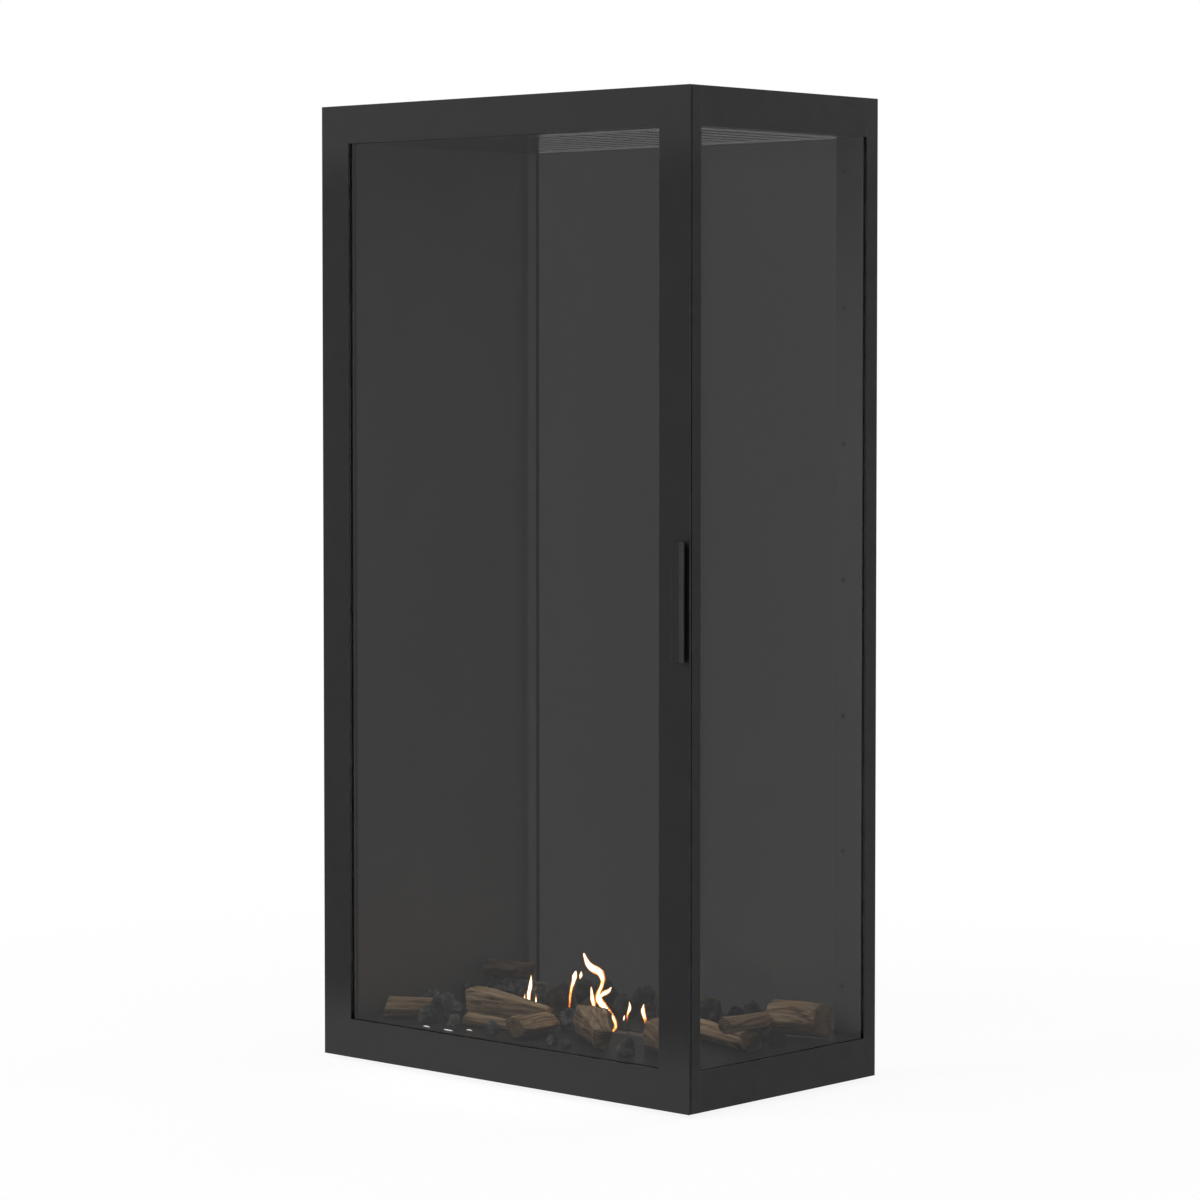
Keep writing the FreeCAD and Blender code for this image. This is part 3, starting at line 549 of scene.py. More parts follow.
@dataclass(frozen=True)
class Blaze(Finish):
    """Flame: white-hot heart, yellow and red edges that fade away."""

    power: float = 15.0
    mirrored: float = 0.12
    stops: tuple[tuple[float, Colour], ...] = (
        (0.05, (0.50, 0.03, 0.0)), (0.26, (1.0, 0.17, 0.015)), (0.46, (1.0, 0.42, 0.07)),
        (0.62, (1.0, 0.78, 0.36)), (0.76, (1.0, 0.97, 0.88)),
    )

    def shade(self, graph: NodeGraph) -> Socket:
        """Builds glow and fading by the blade's heat and the distance from its middle, weaker in mirrors.

        Args:
            graph: the material's empty graph.

        Returns:
            The shader.
        """
        place = graph.add("SeparateXYZ", {"Vector": graph.add("TexCoord", output="UV")}).node.outputs
        across, heat = place["X"], place["Y"]
        side = graph.times(graph.times(across, graph.math("SUBTRACT", 1.0, across)), 4.0)
        flick = graph.span(graph.noise(graph.point((1.0, 1.0, 0.5)), 260.0), NOISE, (-0.10, 0.10))
        level = graph.math("ADD", graph.times(side, heat), flick)
        mirror = graph.add("LightPath", output="Is Glossy Ray")
        dim = graph.span(mirror, (0.0, 1.0), (1.0, self.mirrored))
        strength = graph.times(graph.span(level, (0.05, 0.75), (1.0, self.power)), dim)
        glow = graph.add("Emission", {"Color": graph.ramp(level, self.stops), "Strength": strength})
        gone = graph.add("BsdfTransparent", {"Color": WHITE})
        return graph.fade(graph.span(level, (0.06, 0.38)), gone, glow)


@dataclass(frozen=True)
class GlintGlow(Finish):
    """Painted glints: a white glow, a little duller in places."""

    power: Range = (3.0, 6.0)

    def shade(self, graph: NodeGraph) -> Socket:
        """Builds a glow that varies along the strand.

        Args:
            graph: the material's empty graph.

        Returns:
            The shader.
        """
        heat = graph.noise(graph.point(), 300.0)
        colour = graph.ramp(heat, [(0.3, (1.0, 0.86, 0.72)), (0.6, (1.0, 0.97, 0.93))])
        return graph.add("Emission", {"Color": colour, "Strength": graph.span(heat, NOISE, self.power)})


@dataclass(frozen=True)
class PaleFloor(Finish):
    """Studio floor that stays white round the object and keeps its shadow."""

    lift: float = 0.9
    fade: Range = (0.6, 2.2)

    def shade(self, graph: NodeGraph) -> Socket:
        """Builds white paint, lifted for the camera and plain white in mirrored views.

        Args:
            graph: the material's empty graph.

        Returns:
            The shader.
        """
        path = graph.add("LightPath").node.outputs
        tone = graph.ramp(graph.noise(graph.point(), 2.0), [(0.3, grey(0.84)), (0.7, grey(0.86))])
        matt = graph.add("BsdfDiffuse", {"Color": tone})
        white = graph.add("Emission", {"Strength": 1.0})
        rise = graph.span(graph.vector("LENGTH", graph.point()), self.fade, (self.lift, 1.0))
        share = graph.math("MAXIMUM", graph.times(path["Is Camera Ray"], rise), path["Is Glossy Ray"])
        return graph.fade(share, matt, white)


# Its bands are painted light: the coat turns lighter towards the bottom, more so on faces that look to the
# front, and lighter towards the top
POWDER = Paint("powder_coat", (0.0092, 0.0092, 0.0094), edge=0.0012, specular=0.18, bands=(
    PaintedLightBand(0.11, 0.04, (0.0130, 0.0130, 0.0132)),
    PaintedLightBand(0.13, 0.04, (0.0230, 0.0230, 0.0232), facing=(0.0, -1.0, 0.0)),
    PaintedLightBand(1.24, 1.33, (0.0185, 0.0185, 0.0187)),
))
LINER = Paint("liner_paint", grey(0.155), spread=0.06, rough=(0.55, 0.75), texture=500.0, depth=0.00005,
              specular=0.25, warm=(0.195, 0.150, 0.120), warm_spot=(-0.303, -0.15, 0.13), warm_reach=0.13)
# Painted shade: strip paint turns near black along the foot of the strips, where they meet the parts below
PAINTED_FOOT_SHADE = PaintedLightBand(0.075, 0.0625, grey(0.012))
STRIPS, DOOR_STRIPS = (
    Paint(name, grey(level), spread=0.06, rough=(0.50, 0.65), texture=500.0, depth=0.00005, specular=0.25,
          bands=(PAINTED_FOOT_SHADE,))
    for name, level in (("strip_paint", 0.20), ("door_strip_paint", 0.12))
)
CEILING = Paint("ceiling_paint", (0.05, 0.05, 0.051), spread=0.15, rough=(0.12, 0.18), texture=300.0,
                depth=0.000006, specular=0.4)
HINGE_COAT = Paint("hinge_steel", (0.022, 0.022, 0.023), spread=0.2, rough=(0.35, 0.45), texture=900.0,
                   depth=0.00004, specular=0.4, edge=0.0006)
FERRITE = Paint("magnet_black", (0.055, 0.055, 0.058), spread=0.3, rough=(0.40, 0.70), texture=1600.0,
                depth=0.00008, specular=0.5)
RUBBER = Paint("foot_rubber", grey(0.018), spread=0.25, rough=(0.70, 0.90), texture=1200.0, depth=0.0001,
               specular=0.25)
ENAMEL = Enamel("hearth_enamel")
GLASS = Pane("tinted_glass")
SIDE_GLASS = Pane("tinted_side_glass", index=1.287)
TAPE = Weave("fibre_tape", grey(0.04), (0.11, 0.109, 0.108))
BOARD = Weave("insulation_board", (0.42, 0.38, 0.30), (0.66, 0.62, 0.54), threads=500.0, depth=0.0006)
WOOL = Weave("ceramic_wool", (0.62, 0.60, 0.56), (0.88, 0.87, 0.84), threads=420.0, depth=0.0012)
STAINLESS = Metal("stainless", (0.56, 0.56, 0.55), soot=0.5)
SCREW_STEEL = Metal("screw_steel", (0.13, 0.13, 0.135), marks=(300.0, 300.0, 300.0), rough=(0.35, 0.50),
                    soot=0.4)
BRASS = Metal("washer_brass", (0.70, 0.50, 0.22), marks=(40.0, 40.0, 2600.0), rough=(0.18, 0.32))
SPLIT_WOOD = Wood("log_split_face", (
    (0.30, (0.13, 0.075, 0.038)), (0.42, (0.36, 0.235, 0.135)), (0.55, (0.56, 0.40, 0.245)),
    (0.70, (0.76, 0.59, 0.40)),
), stretch=(6.0, 210.0, 210.0), char=(0.60, 0.72), depth=0.0012)
BARK = Wood("log_bark", (
    (0.30, (0.040, 0.031, 0.025)), (0.50, (0.145, 0.108, 0.078)), (0.72, (0.30, 0.235, 0.18)),
), stretch=(34.0, 110.0, 110.0), char=(0.52, 0.68), depth=0.0018)
LOG_END = Wood("log_sawn_end", (
    (0.28, (0.14, 0.085, 0.048)), (0.50, (0.42, 0.28, 0.165)), (0.74, (0.66, 0.49, 0.32)),
), stretch=(60.0, 60.0, 60.0), char=(0.52, 0.72), rings=True)
CHAR = Char("charred_coal")
# Painted shade: a darker copy of the coal finish, for the coals at the back of the fire
SHADED_CHAR = Char("shaded_coal", tone=0.35)
BLAZE = Blaze("flame_glow")
# Painted glints on the front of the hearth
GLINT_GLOW = GlintGlow("painted_glint_glow")
FLOOR_WHITE = PaleFloor("studio_floor")

# Finishes of a log's split faces, bark and ends, in the order of its material slots
LOG_SKINS = {
    LogLook.SPLIT: (SPLIT_WOOD, BARK, LOG_END), LogLook.BARK: (BARK,) * 3, LogLook.CHAR: (CHAR,) * 3,
}
# Logs of the rear heap, with darker looks than the split logs
DARK_LOGS = {"log_left_top": LogLook.BARK, "log_rear_left": LogLook.CHAR, "log_rear_middle": LogLook.BARK}


def link(item: bpy.types.Object) -> bpy.types.Object:
    """Puts an object into the scene and returns it."""
    bpy.context.scene.collection.objects.link(item)
    return item


def new_piece(name: str, mesh: bpy.types.Mesh, finishes: Iterable[Finish], body: Body,
              replaces: Sequence[str] = ()) -> bpy.types.Object:
    """Adds a mesh to the scene as a piece of the fireplace.

    Args:
        name: the piece's name.
        mesh: its mesh, in the part's frame.
        finishes: one finish for each of its material slots.
        body: the CAD body that it rides on.
        replaces: CAD nodes that it stands for.

    Returns:
        The piece.
    """
    piece = link(bpy.data.objects.new(name, mesh))
    for finish in finishes:
        mesh.materials.append(finish.material())
    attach(piece, body.value)
    if replaces:
        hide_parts(*replaces)
    LOG.info("%s: %d faces on %s", name, len(mesh.polygons), body.value)
    return piece


def dress(finish: Finish, *nodes: str) -> None:
    """Gives CAD nodes a finish in place of their plain material.

    Args:
        finish: the finish.
        nodes: the nodes' names.
    """
    for name in nodes:
        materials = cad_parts[name].data.materials
        materials.clear()
        materials.append(finish.material())
        LOG.info("%s: %s", name, finish.name)


def mesh_from(name: str, points: Sequence[Sequence[float]], faces: Sequence[Face],
              smooth: bool = True) -> bpy.types.Mesh:
    """Makes a mesh.

    Args:
        name: its name.
        points: its points.
        faces: point numbers of its faces.
        smooth: whether its faces are shaded smooth.

    Returns:
        The mesh.
    """
    mesh = bpy.data.meshes.new(name)
    mesh.from_pydata([tuple(p) for p in points], [], faces)
    mesh.polygons.foreach_set("use_smooth", [smooth] * len(mesh.polygons))
    mesh.update()
    return mesh


def turns(count: int) -> list[float]:
    """Equal steps of one full turn, in radians."""
    return [2 * math.pi * step / count for step in range(count)]


def wrapped(turn: float) -> float:
    """A turn carried into the range from half a turn back to half a turn on."""
    return (turn + math.pi) % (2 * math.pi) - math.pi


def quads(rings: int, count: int, first: int = 0, closed: bool = True) -> list[Face]:
    """Faces between neighbouring rings of points.

    Args:
        rings: how many rings there are.
        count: points in each.
        first: number of the first point.
        closed: whether a ring's last point is joined to its first.

    Returns:
        The faces, ring by ring.
    """
    faces: list[Face] = []
    for start in range(first, first + (rings - 1) * count, count):
        for c in range(count if closed else count - 1):
            a, b = start + c, start + (c + 1) % count
            faces.append((a, b, b + count, a + count))
    return faces


def tube(rings: Sequence[Sequence[Vector]]) -> Skin:
    """Closed skin through rings of equal count, with a face over each end.

    Args:
        rings: points of each ring, in order.

    Returns:
        Points and faces.
    """
    count = len(rings[0])
    points = [p for ring in rings for p in ring]
    ends = [tuple(reversed(range(count))), tuple(range(len(points) - count, len(points)))]
    return points, quads(len(rings), count) + ends


def joined(skins: Iterable[Skin]) -> Skin:
    """Joins several skins into one.

    Args:
        skins: points and faces of each.

    Returns:
        Points and faces of them all.
    """
    points: list[Vector] = []
    faces: list[Face] = []
    for more, skin in skins:
        faces += [tuple(i + len(points) for i in face) for face in skin]
        points += more
    return points, faces


@dataclass
class Solid:
    """Points and faces of one solid."""

    points: list[Vector]
    faces: list[Face]

    def moved(self, by: Matrix) -> "Solid":
        """The same solid in other axes."""
        return Solid([by @ p for p in self.points], self.faces)

    def box(self) -> tuple[Vector, Vector]:
        """Its lowest and highest corner."""
        return Vector(map(min, zip(*self.points))), Vector(map(max, zip(*self.points)))

    def tree(self) -> BVHTree:
        """Search tree of its faces."""
        return BVHTree.FromPolygons(self.points, self.faces)


def solids_of(node: str) -> list[Solid]:
    """Finds the separate solids of a CAD node, also where they touch along an edge.

    Args:
        node: the node's name.

    Returns:
        The solids, in the mesh's order.
    """
    same_point = 1e-5
    whole = bmesh.new()
    whole.from_mesh(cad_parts[node].data)
    bmesh.ops.remove_doubles(whole, verts=whole.verts, dist=same_point)
    seen: set[bmesh.types.BMFace] = set()
    solids = []
    for first in whole.faces:
        if first in seen:
            continue
        seen.add(first)
        skin, edge = [], [first]
        while edge:
            face = edge.pop()
            skin.append(face)
            for side in face.edges:
                if len(side.link_faces) == 2:
                    fresh = [f for f in side.link_faces if f not in seen]
                    seen.update(fresh)
                    edge += fresh
        order = {vert: i for i, vert in enumerate(dict.fromkeys(v for f in skin for v in f.verts))}
        solids.append(Solid([v.co.copy() for v in order], [tuple(order[v] for v in f.verts) for f in skin]))
    whole.free()
    return solids


@dataclass
class SoftStrips:
    """Fibre strips and pads that fill the boxes of a CAD node with a crowned, uneven form."""

    name: str
    node: str
    body: Body
    finish: Finish
    slot: str
    fill: float = 0.8
    pitch: float = 0.008
    corners: int = 20
    square: float = 0.32
    uneven: float = 0.06
    fewest: int = 12
    tip: float = 0.02
    blunt: int = 60
    long_share: float = 0.9995

    def build(self) -> bpy.types.Object:
        """Makes the piece in place of its node.

        Returns:
            The piece.
        """
        skin = joined(self.strip(*solid.box(), seed) for seed, solid in enumerate(solids_of(self.node)))
        mesh = mesh_from(self.name, *skin)
        piece = new_piece(self.name, mesh, [self.finish], self.body, [self.node])
        return piece

    def strip(self, low: Vector, high: Vector, seed: int) -> Skin:
        """Makes one strip inside a box.

        Args:
            low: the box's lowest corner.
            high: the box's highest corner.
            seed: sets the unevenness.

        Returns:
            Points and faces of a crowned bar along the box's longest side.
        """
        reach, middle = (high - low) / 2, (high + low) / 2
        thin, wide, long = sorted(range(3), key=lambda axis: reach[axis])
        count = max(self.fewest, int(2 * reach[long] / self.pitch))
        rings = []
        for r in range(count + 1):
            along = -1 + 2 * r / count
            end = (1 - abs(along) ** self.blunt) ** 0.5 * (1 - self.tip) + self.tip
            ring = []
            for turn in turns(self.corners):
                u, v = (math.copysign(abs(w) ** self.square, w) for w in (math.cos(turn), math.sin(turn)))
                spot = Vector((along * reach[long] * 60, u * 3, v * 3 + seed * 7.1))
                dent = 1 - self.uneven * (0.5 + 0.5 * noise.noise(spot))
                at = Vector(middle)
                at[long] += along * reach[long] * self.long_share
                at[wide] += u * reach[wide] * end * dent
                at[thin] += v * reach[thin] * end * dent
                ring.append(at)
            rings.append(ring)
        return tube(rings)


@dataclass
class Screws:
    """Small pan-head screws with a six-lobed recess on one plane, as one piece.

    The profile gives radius, height and depth of lobes of each ring, as shares of the head's size.
    """

    name: str
    body: Body
    spots: Sequence[Sequence[float]]
    facing: Vector
    radius: float = 0.0035
    tall: float = 0.0018
    corners: int = 24
    lobes: int = 6
    profile: Sequence[tuple[float, float, float]] = (
        (0.30, 0.35, 0.06), (0.30, 0.97, 0.06), (0.35, 0.98, 0.0), (0.68, 0.8, 0.0), (0.92, 0.42, 0.0),
        (1.0, 0.0, 0.0),
    )

    def build(self) -> bpy.types.Object:
        """Makes the heads.

        Returns:
            The piece.
        """
        skin = joined(tube(self.rings(Vector(spot))) for spot in self.spots)
        return new_piece(self.name, mesh_from(self.name, *skin, smooth=False), [SCREW_STEEL], self.body)

    def rings(self, spot: Vector) -> list[list[Vector]]:
        """Finds the rings of one head.

        Args:
            spot: the middle of its seat.

        Returns:
            Points of each ring, from the recess out to the rim.
        """
        upright = UP.rotation_difference(self.facing).to_matrix()
        rings = []
        for out, up, lobe in self.profile:
            ring = []
            for turn in turns(self.corners):
                reach = self.radius * (out + lobe * math.cos(self.lobes * turn))
                at = Vector((reach * math.cos(turn), reach * math.sin(turn), self.tall * up))
                ring.append(spot + upright @ at)
            rings.append(ring)
        return rings


@dataclass
class Door:
    """Overlay door: plate, pane, tape, holding strips, seal and pull."""

    plate: Sequence[str] = ("door_panel", "door_handle")
    seal_square: float = 0.5

    def build(self) -> None:
        """Dresses the door's sheet and glass and lays in its tape and seal."""
        dress(POWDER, *self.plate)
        dress(DOOR_STRIPS, "door_glass_strips")
        dress(GLASS, "door_glass")
        dress(HINGE_COAT, *(f"hinge_{h}_door_half" for h in ("bottom", "middle", "top")))
        SoftStrips("door_tape_lay", "door_tape", Body.DOOR, TAPE, "fibre_tape").build()
        SoftStrips("door_seal_lay", "door_seal", Body.DOOR, TAPE, "fibre_tape",
                   square=self.seal_square).build()


@dataclass
class Case:
    """Frames, rails, closed side, base and top of the case."""

    coated: Sequence[str] = (
        "front_frame", "rear_frame", "side_bottom_rail", "side_top_rail", "left_outer_panel",
        "base_pan", "top_cover",
    )
    screw_step: float = 0.19
    screw_start: float = 0.10
    screw_spare: float = 0.16
    strip_inset: float = 0.016
    cover_inset: float = 0.014

    def build(self) -> None:
        """Dresses the case and adds the screws of its strips and its cover."""
        dress(POWDER, *self.coated)
        dress(LINER, "left_liner")
        dress(STRIPS, "rear_glass_strips", "side_glass_strips")
        dress(CEILING, "ceiling_grille")
        dress(GLASS, "rear_glass")
        dress(SIDE_GLASS, "side_glass")
        dress(FERRITE, "catch_magnets")
        dress(RUBBER, "feet")
        for height in ("bottom", "middle", "top"):
            dress(HINGE_COAT, f"hinge_{height}_case_half")
            dress(BRASS, f"hinge_{height}_washer")
        for side in ("rear", "side"):
            SoftStrips(f"{side}_tape_lay", f"{side}_tape", Body.CASE, TAPE, "fibre_tape").build()
        SoftStrips("insulation_slab", "left_insulation", Body.CASE, BOARD, "insulation_board",
                   fill=1.0, pitch=0.02, corners=40, square=0.12, uneven=0.01).build()
        self.strip_screws()
        self.cover_screws()

    def strip_screws(self) -> None:
        """Screws up the right flange of the rear holding strips, on its face towards the fire."""
        low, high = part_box("rear_glass_strips")
        count = int((high.z - low.z - self.screw_spare) / self.screw_step)
        x, start = high.x - self.strip_inset, low.z + self.screw_start
        spots = [(x, low.y, start + i * self.screw_step) for i in range(count + 1)]
        Screws("rear_strip_screws", Body.CASE, spots, Vector((0, -1, 0))).build()

    def cover_screws(self) -> None:
        """Screws at the corners and the middles of the top cover."""
        low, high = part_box("top_cover")
        inset = self.cover_inset
        across = (low.x + inset, (low.x + high.x) / 2, high.x - inset)
        spots = [(x, y, high.z) for x in across for y in (low.y + inset, high.y - inset)]
        Screws("cover_screws", Body.CASE, spots, UP).build()


@dataclass
class Burner:
    """Hearth plate and the slot burner under it."""

    steel: Sequence[str] = (
        "burner_tray", "snuffer_runner_front", "snuffer_runner_rear", "snuffer_left", "snuffer_right",
    )

    def build(self) -> None:
        """Dresses the hearth and the burner and packs the wool into the tray."""
        dress(ENAMEL, "hearth_plate")
        dress(STAINLESS, *self.steel)
        SoftStrips("wool_pad", "ceramic_wool", Body.CASE, WOOL, "ceramic_wool",
                   fill=0.9, pitch=0.004, corners=72, square=0.2, uneven=0.07).build()


@dataclass
class SplitLog:
    """One ceramic log: bark, split faces, cracks and sawn ends inside its CAD solid."""

    node: str
    seed: int
    look: LogLook
    rings: int = 84
    corners: int = 72
    margin: float = 0.0015
    bark_share: float = 0.42
    bark_way: Range = (-0.67, 0.74)
    bark_turn: float = field(init=False)
    cracks: int = 3
    crack_wide: float = 0.10
    deepest: float = 0.16
    end_rings: int = 5
    end_rough: float = 0.0012
    longest_ray: float = 0.3

    def axes(self) -> tuple[Matrix, BVHTree, Vector, Vector]:
        """Finds how the solid lies.

        Returns:
            Its own axes with X along the grain, a search tree of its faces in those axes, and its box there.
        """
        solid = solids_of(self.node)[0]
        flat = [p.to_2d() for p in solid.points]
        middle = sum(flat, Vector((0, 0))) / len(flat)
        xx = sum((p.x - middle.x) ** 2 for p in flat)
        yy = sum((p.y - middle.y) ** 2 for p in flat)
        xy = sum((p.x - middle.x) * (p.y - middle.y) for p in flat)
        turn = 0.5 * math.atan2(2 * xy, xx - yy)
        low, _ = solid.box()
        own = Matrix.Translation((middle.x, middle.y, low.z)) @ Matrix.Rotation(turn, 4, "Z")
        solid = solid.moved(own.inverted())
        return own, solid.tree(), *solid.box()

    def build(self) -> bpy.types.Object:
        """Makes the log in place of its node.

        Returns:
            The piece.
        """
        own, tree, low, high = self.axes()
        aside = own.to_3x3().inverted() @ Vector((*self.bark_way, 0))
        self.bark_turn = math.atan2(-0.3 + 0.25 * math.sin(2.4 * self.seed), aside.y)
        start, end = (self.end_plane(tree, low, high, way) for way in (1, -1))
        long = end[0] - start[0]
        rings, last = [], [high.z / 2] * self.corners
        for r in range(self.rings + 1):
            along = r / self.rings
            middle, lean = (a + (b - a) * along for a, b in zip(start, end))
            centre = Vector((middle, 0, self.top(tree, middle, high.z) / 2))
            ring = []
            for c, turn in enumerate(turns(self.corners)):
                way = Vector((lean * math.sin(turn), math.cos(turn), math.sin(turn))).normalized()
                hit = tree.ray_cast(centre, way, self.longest_ray)[0]
                if hit is not None:
                    last[c] = (hit - centre).length
                ring.append(centre + way * last[c] * (1 - self.carve(along, turn, long * along)))
            rings.append(ring)
        points, faces, kinds = self.skin(rings)
        mesh = mesh_from(f"{self.node}_form", points, faces)
        mesh.polygons.foreach_set("material_index", kinds)
        finishes = LOG_SKINS[self.look]
        piece = new_piece(f"{self.node}_cast", mesh, finishes, Body.CASE, [self.node])
        piece.matrix_world = own
        return piece

    def top(self, tree: BVHTree, x: float, spare: float) -> float:
        """Height of the solid's top at one place along it, or the spare height past its ends."""
        hit = tree.ray_cast(Vector((x, 0, 1)), -UP)[0]
        return spare if hit is None else hit.z

    def end_plane(self, tree: BVHTree, low: Vector, high: Vector, way: int) -> Range:
        """Finds one sawn end.

        Args:
            tree: the solid's faces in its own axes.
            low: lowest corner of its box there.
            high: highest corner of its box there.
            way: 1 for the end at low X, -1 for the other.

        Returns:
            Place of the end's middle along the log, a little inside it, and the end's lean.
        """
        outside, inside = (low.x, high.x) if way > 0 else (high.x, low.x)
        tall = self.top(tree, outside + (inside - outside) * 0.12, high.z)
        heights = (tall * 0.3, tall * 0.7)
        hits = [tree.ray_cast(Vector((outside - 0.05 * way, 0, z)), Vector((way, 0, 0)))[0] for z in heights]
        lean = (hits[1].x - hits[0].x) / (heights[1] - heights[0])
        return (hits[0].x + hits[1].x) / 2 + way * self.margin, lean

    def is_bark(self, turn: float) -> bool:
        """Whether the skin at this turn about the log is bark."""
        return abs(wrapped(turn - self.bark_turn)) < math.pi * self.bark_share

    def carve(self, along: float, turn: float, run: float) -> float:
        """How much of the radius is carved away.

        Args:
            along: place along the log, 0 to 1.
            turn: place round the log, in radians.
            run: distance along the log, in metres.

        Returns:
            A share of the radius, never below 0.
        """
        x, y = math.cos(turn), math.sin(turn)
        if self.is_bark(turn):
            plates = noise.fractal(Vector((run * 45, x * 4, y * 4 + self.seed)), 0.8, 2.2, 5)
            depth = 0.05 + 0.06 * plates
        else:
            fibres = noise.fractal(Vector((run * 9, x * 11, y * 11 + self.seed)), 0.9, 2.1, 4)
            steps = abs(noise.noise(Vector((run * 14, x * 3, y * 3 - self.seed))))
            splint = noise.noise(Vector((run * 5, x * 26, y * 26 + self.seed)))
            depth = 0.05 + 0.04 * fibres + 0.06 * steps + 0.03 * splint
        for crack in range(self.cracks):
            sway = noise.noise(Vector((run * 22, crack, self.seed)))
            gap = abs(wrapped(turn - (2.1 * crack + 1.3 * self.seed + 0.35 * sway)))
            reach = 0.5 + 0.5 * noise.noise(Vector((run * 16, crack * 5.0, self.seed * 2.0)))
            depth += 0.13 * reach * max(0.0, 1 - gap / self.crack_wide)
        edge = min(along, 1 - along)
        chips = noise.noise(Vector((x, y, self.seed * 3.7)) * 3)
        depth += 0.10 * max(0.0, 1 - edge / 0.02) * (0.6 + 0.4 * chips)
        return min(max(depth, 0.0), self.deepest)

    def skin(self, rings: list[list[Vector]]) -> tuple[list[Vector], list[Face], list[int]]:
        """Lays sides and stepped ends through the rings.

        Args:
            rings: points of each ring along the log.

        Returns:
            Points, faces and each face's material slot.
        """
        count = self.corners
        points = [p for ring in rings for p in ring]
        faces = quads(len(rings), count)
        middles = [2 * math.pi * (c + 0.5) / count for c in range(count)]
        sides = [(LogFace.BARK if self.is_bark(turn) else LogFace.SPLIT).value for turn in middles]
        kinds = sides * (len(rings) - 1)
        for ring, inward in ((0, 1), (len(rings) - 1, -1)):
            cap = self.end(rings[ring], ring, inward, points)
            faces += cap
            kinds += [LogFace.END.value] * len(cap)
        return points, faces, kinds

    def end(self, rim: list[Vector], ring: int, inward: int, points: list[Vector]) -> list[Face]:
        """Closes one end with rough rings round a hub.

        Args:
            rim: points of the ring that it closes.
            ring: that ring's number.
            inward: 1 for the first ring, -1 for the last.
            points: the log's points so far, which the end's are added to.

        Returns:
            The end's faces.
        """
        count = self.corners
        outer = [ring * count + c for c in range(count)]
        centre = sum(rim, Vector()) / count
        faces: list[Face] = []
        for step in range(1, self.end_rings + 1):
            inner = list(range(len(points), len(points) + count))
            for edge in rim:
                at = centre.lerp(edge, 1 - step / (self.end_rings + 1))
                rough = noise.noise(Vector((at.y * 160, at.z * 160, self.seed + ring)))
                points.append(at + Vector((inward * self.end_rough * (0.6 + rough), 0, 0)))
            for c in range(count):
                after = (c + 1) % count
                faces.append((outer[c], inner[c], inner[after], outer[after]))
            outer = inner
        hub = len(points)
        points.append(centre + Vector((inward * self.end_rough, 0, 0)))
        faces += [(outer[c], hub, outer[(c + 1) % count]) for c in range(count)]
        return faces if inward > 0 else [tuple(reversed(face)) for face in faces]


@dataclass
class Coals:
    """Charred lumps inside the solids of one CAD node."""

    node: str
    finish: Finish
    level: int = 5
    flats: int = 8
    deepest: float = 0.36
    middle: float = 0.42
    steepest: float = 0.3
    box_share: float = 3.6

    def build(self) -> bpy.types.Object:
        """Makes all the node's lumps as one piece.

        Returns:
            The piece.
        """
        ball = bmesh.new()
        bmesh.ops.create_icosphere(ball, subdivisions=self.level, radius=1.0)
        ways = [v.co.normalized() for v in ball.verts]
        faces = [tuple(v.index for v in f.verts) for f in ball.faces]
        ball.free()
        lumps = enumerate(solids_of(self.node))
        skin = joined((self.lump(solid, seed, ways), faces) for seed, solid in lumps)
        mesh = mesh_from(f"{self.node}_form", *skin)
        return new_piece(f"{self.node}_cast", mesh, [self.finish], Body.CASE, [self.node])

    def lump(self, solid: Solid, seed: int, ways: Sequence[Vector]) -> list[Vector]:
        """Shapes one lump.

        Args:
            solid: the solid that it keeps inside.
            seed: the lump's number.
            ways: directions of its points from its middle.

        Returns:
            Its points, in the order of the ways.
        """
        low, high = solid.box()
        centre = (low + high) / 2
        centre.z = low.z + (high.z - low.z) * self.middle
        tree = solid.tree()
        breaks = self.breaks(seed, (high - low).length / self.box_share)
        points = []
        for way in ways:
            hit = tree.ray_cast(centre, way)[0]
            reach = (hit - centre).length if hit is not None else (high.z - low.z) / 2
            for normal, far in breaks:
                if way.dot(normal) > self.steepest:
                    reach = min(reach, far / way.dot(normal))
            points.append(centre + way * reach * (1 - self.carve(way, seed)))
        return points

    def breaks(self, seed: int, radius: float) -> list[tuple[Vector, float]]:
        """Finds the flat breaks of one lump.

        Args:
            seed: the lump's number.
            radius: the lump's mean radius.

        Returns:
            Each break's normal and its distance from the lump's middle. None looks steeply down.
        """
        golden = 2.399
        planes = []
        for i in range(self.flats):
            turn = golden * i + 1.9 * seed
            up = -0.25 + 1.15 * (i + 0.5) / self.flats
            out = math.sqrt(max(0.0, 1 - up * up))
            share = 0.74 + 0.20 * math.sin(3.1 * i + 2.3 * seed)
            planes.append((Vector((out * math.cos(turn), out * math.sin(turn), up)), radius * share))
        return planes

    def carve(self, way: Vector, seed: int) -> float:
        """How much of the radius charred ripples, pits and splits take away.

        Args:
            way: direction from the lump's middle.
            seed: the lump's number.

        Returns:
            A share of the radius, never below 0.
        """
        spot = way * 1.6 + Vector((seed * 5.3, 0, 0))
        lean = 0.9 * seed
        grain = Vector((math.cos(lean), math.sin(lean), 0.3)).normalized()
        across = spot - grain * spot.dot(grain) * 0.75
        ripples = noise.fractal(across * 4.5, 0.8, 2.1, 5)
        rough = noise.fractal(spot * 5.0, 0.9, 2.1, 5)
        split = max(0.0, 1 - abs(noise.noise(across * 2.6)) / 0.07)
        depth = 0.07 + 0.085 * ripples + 0.065 * rough + 0.10 * split
        return min(max(depth, 0.0), self.deepest)


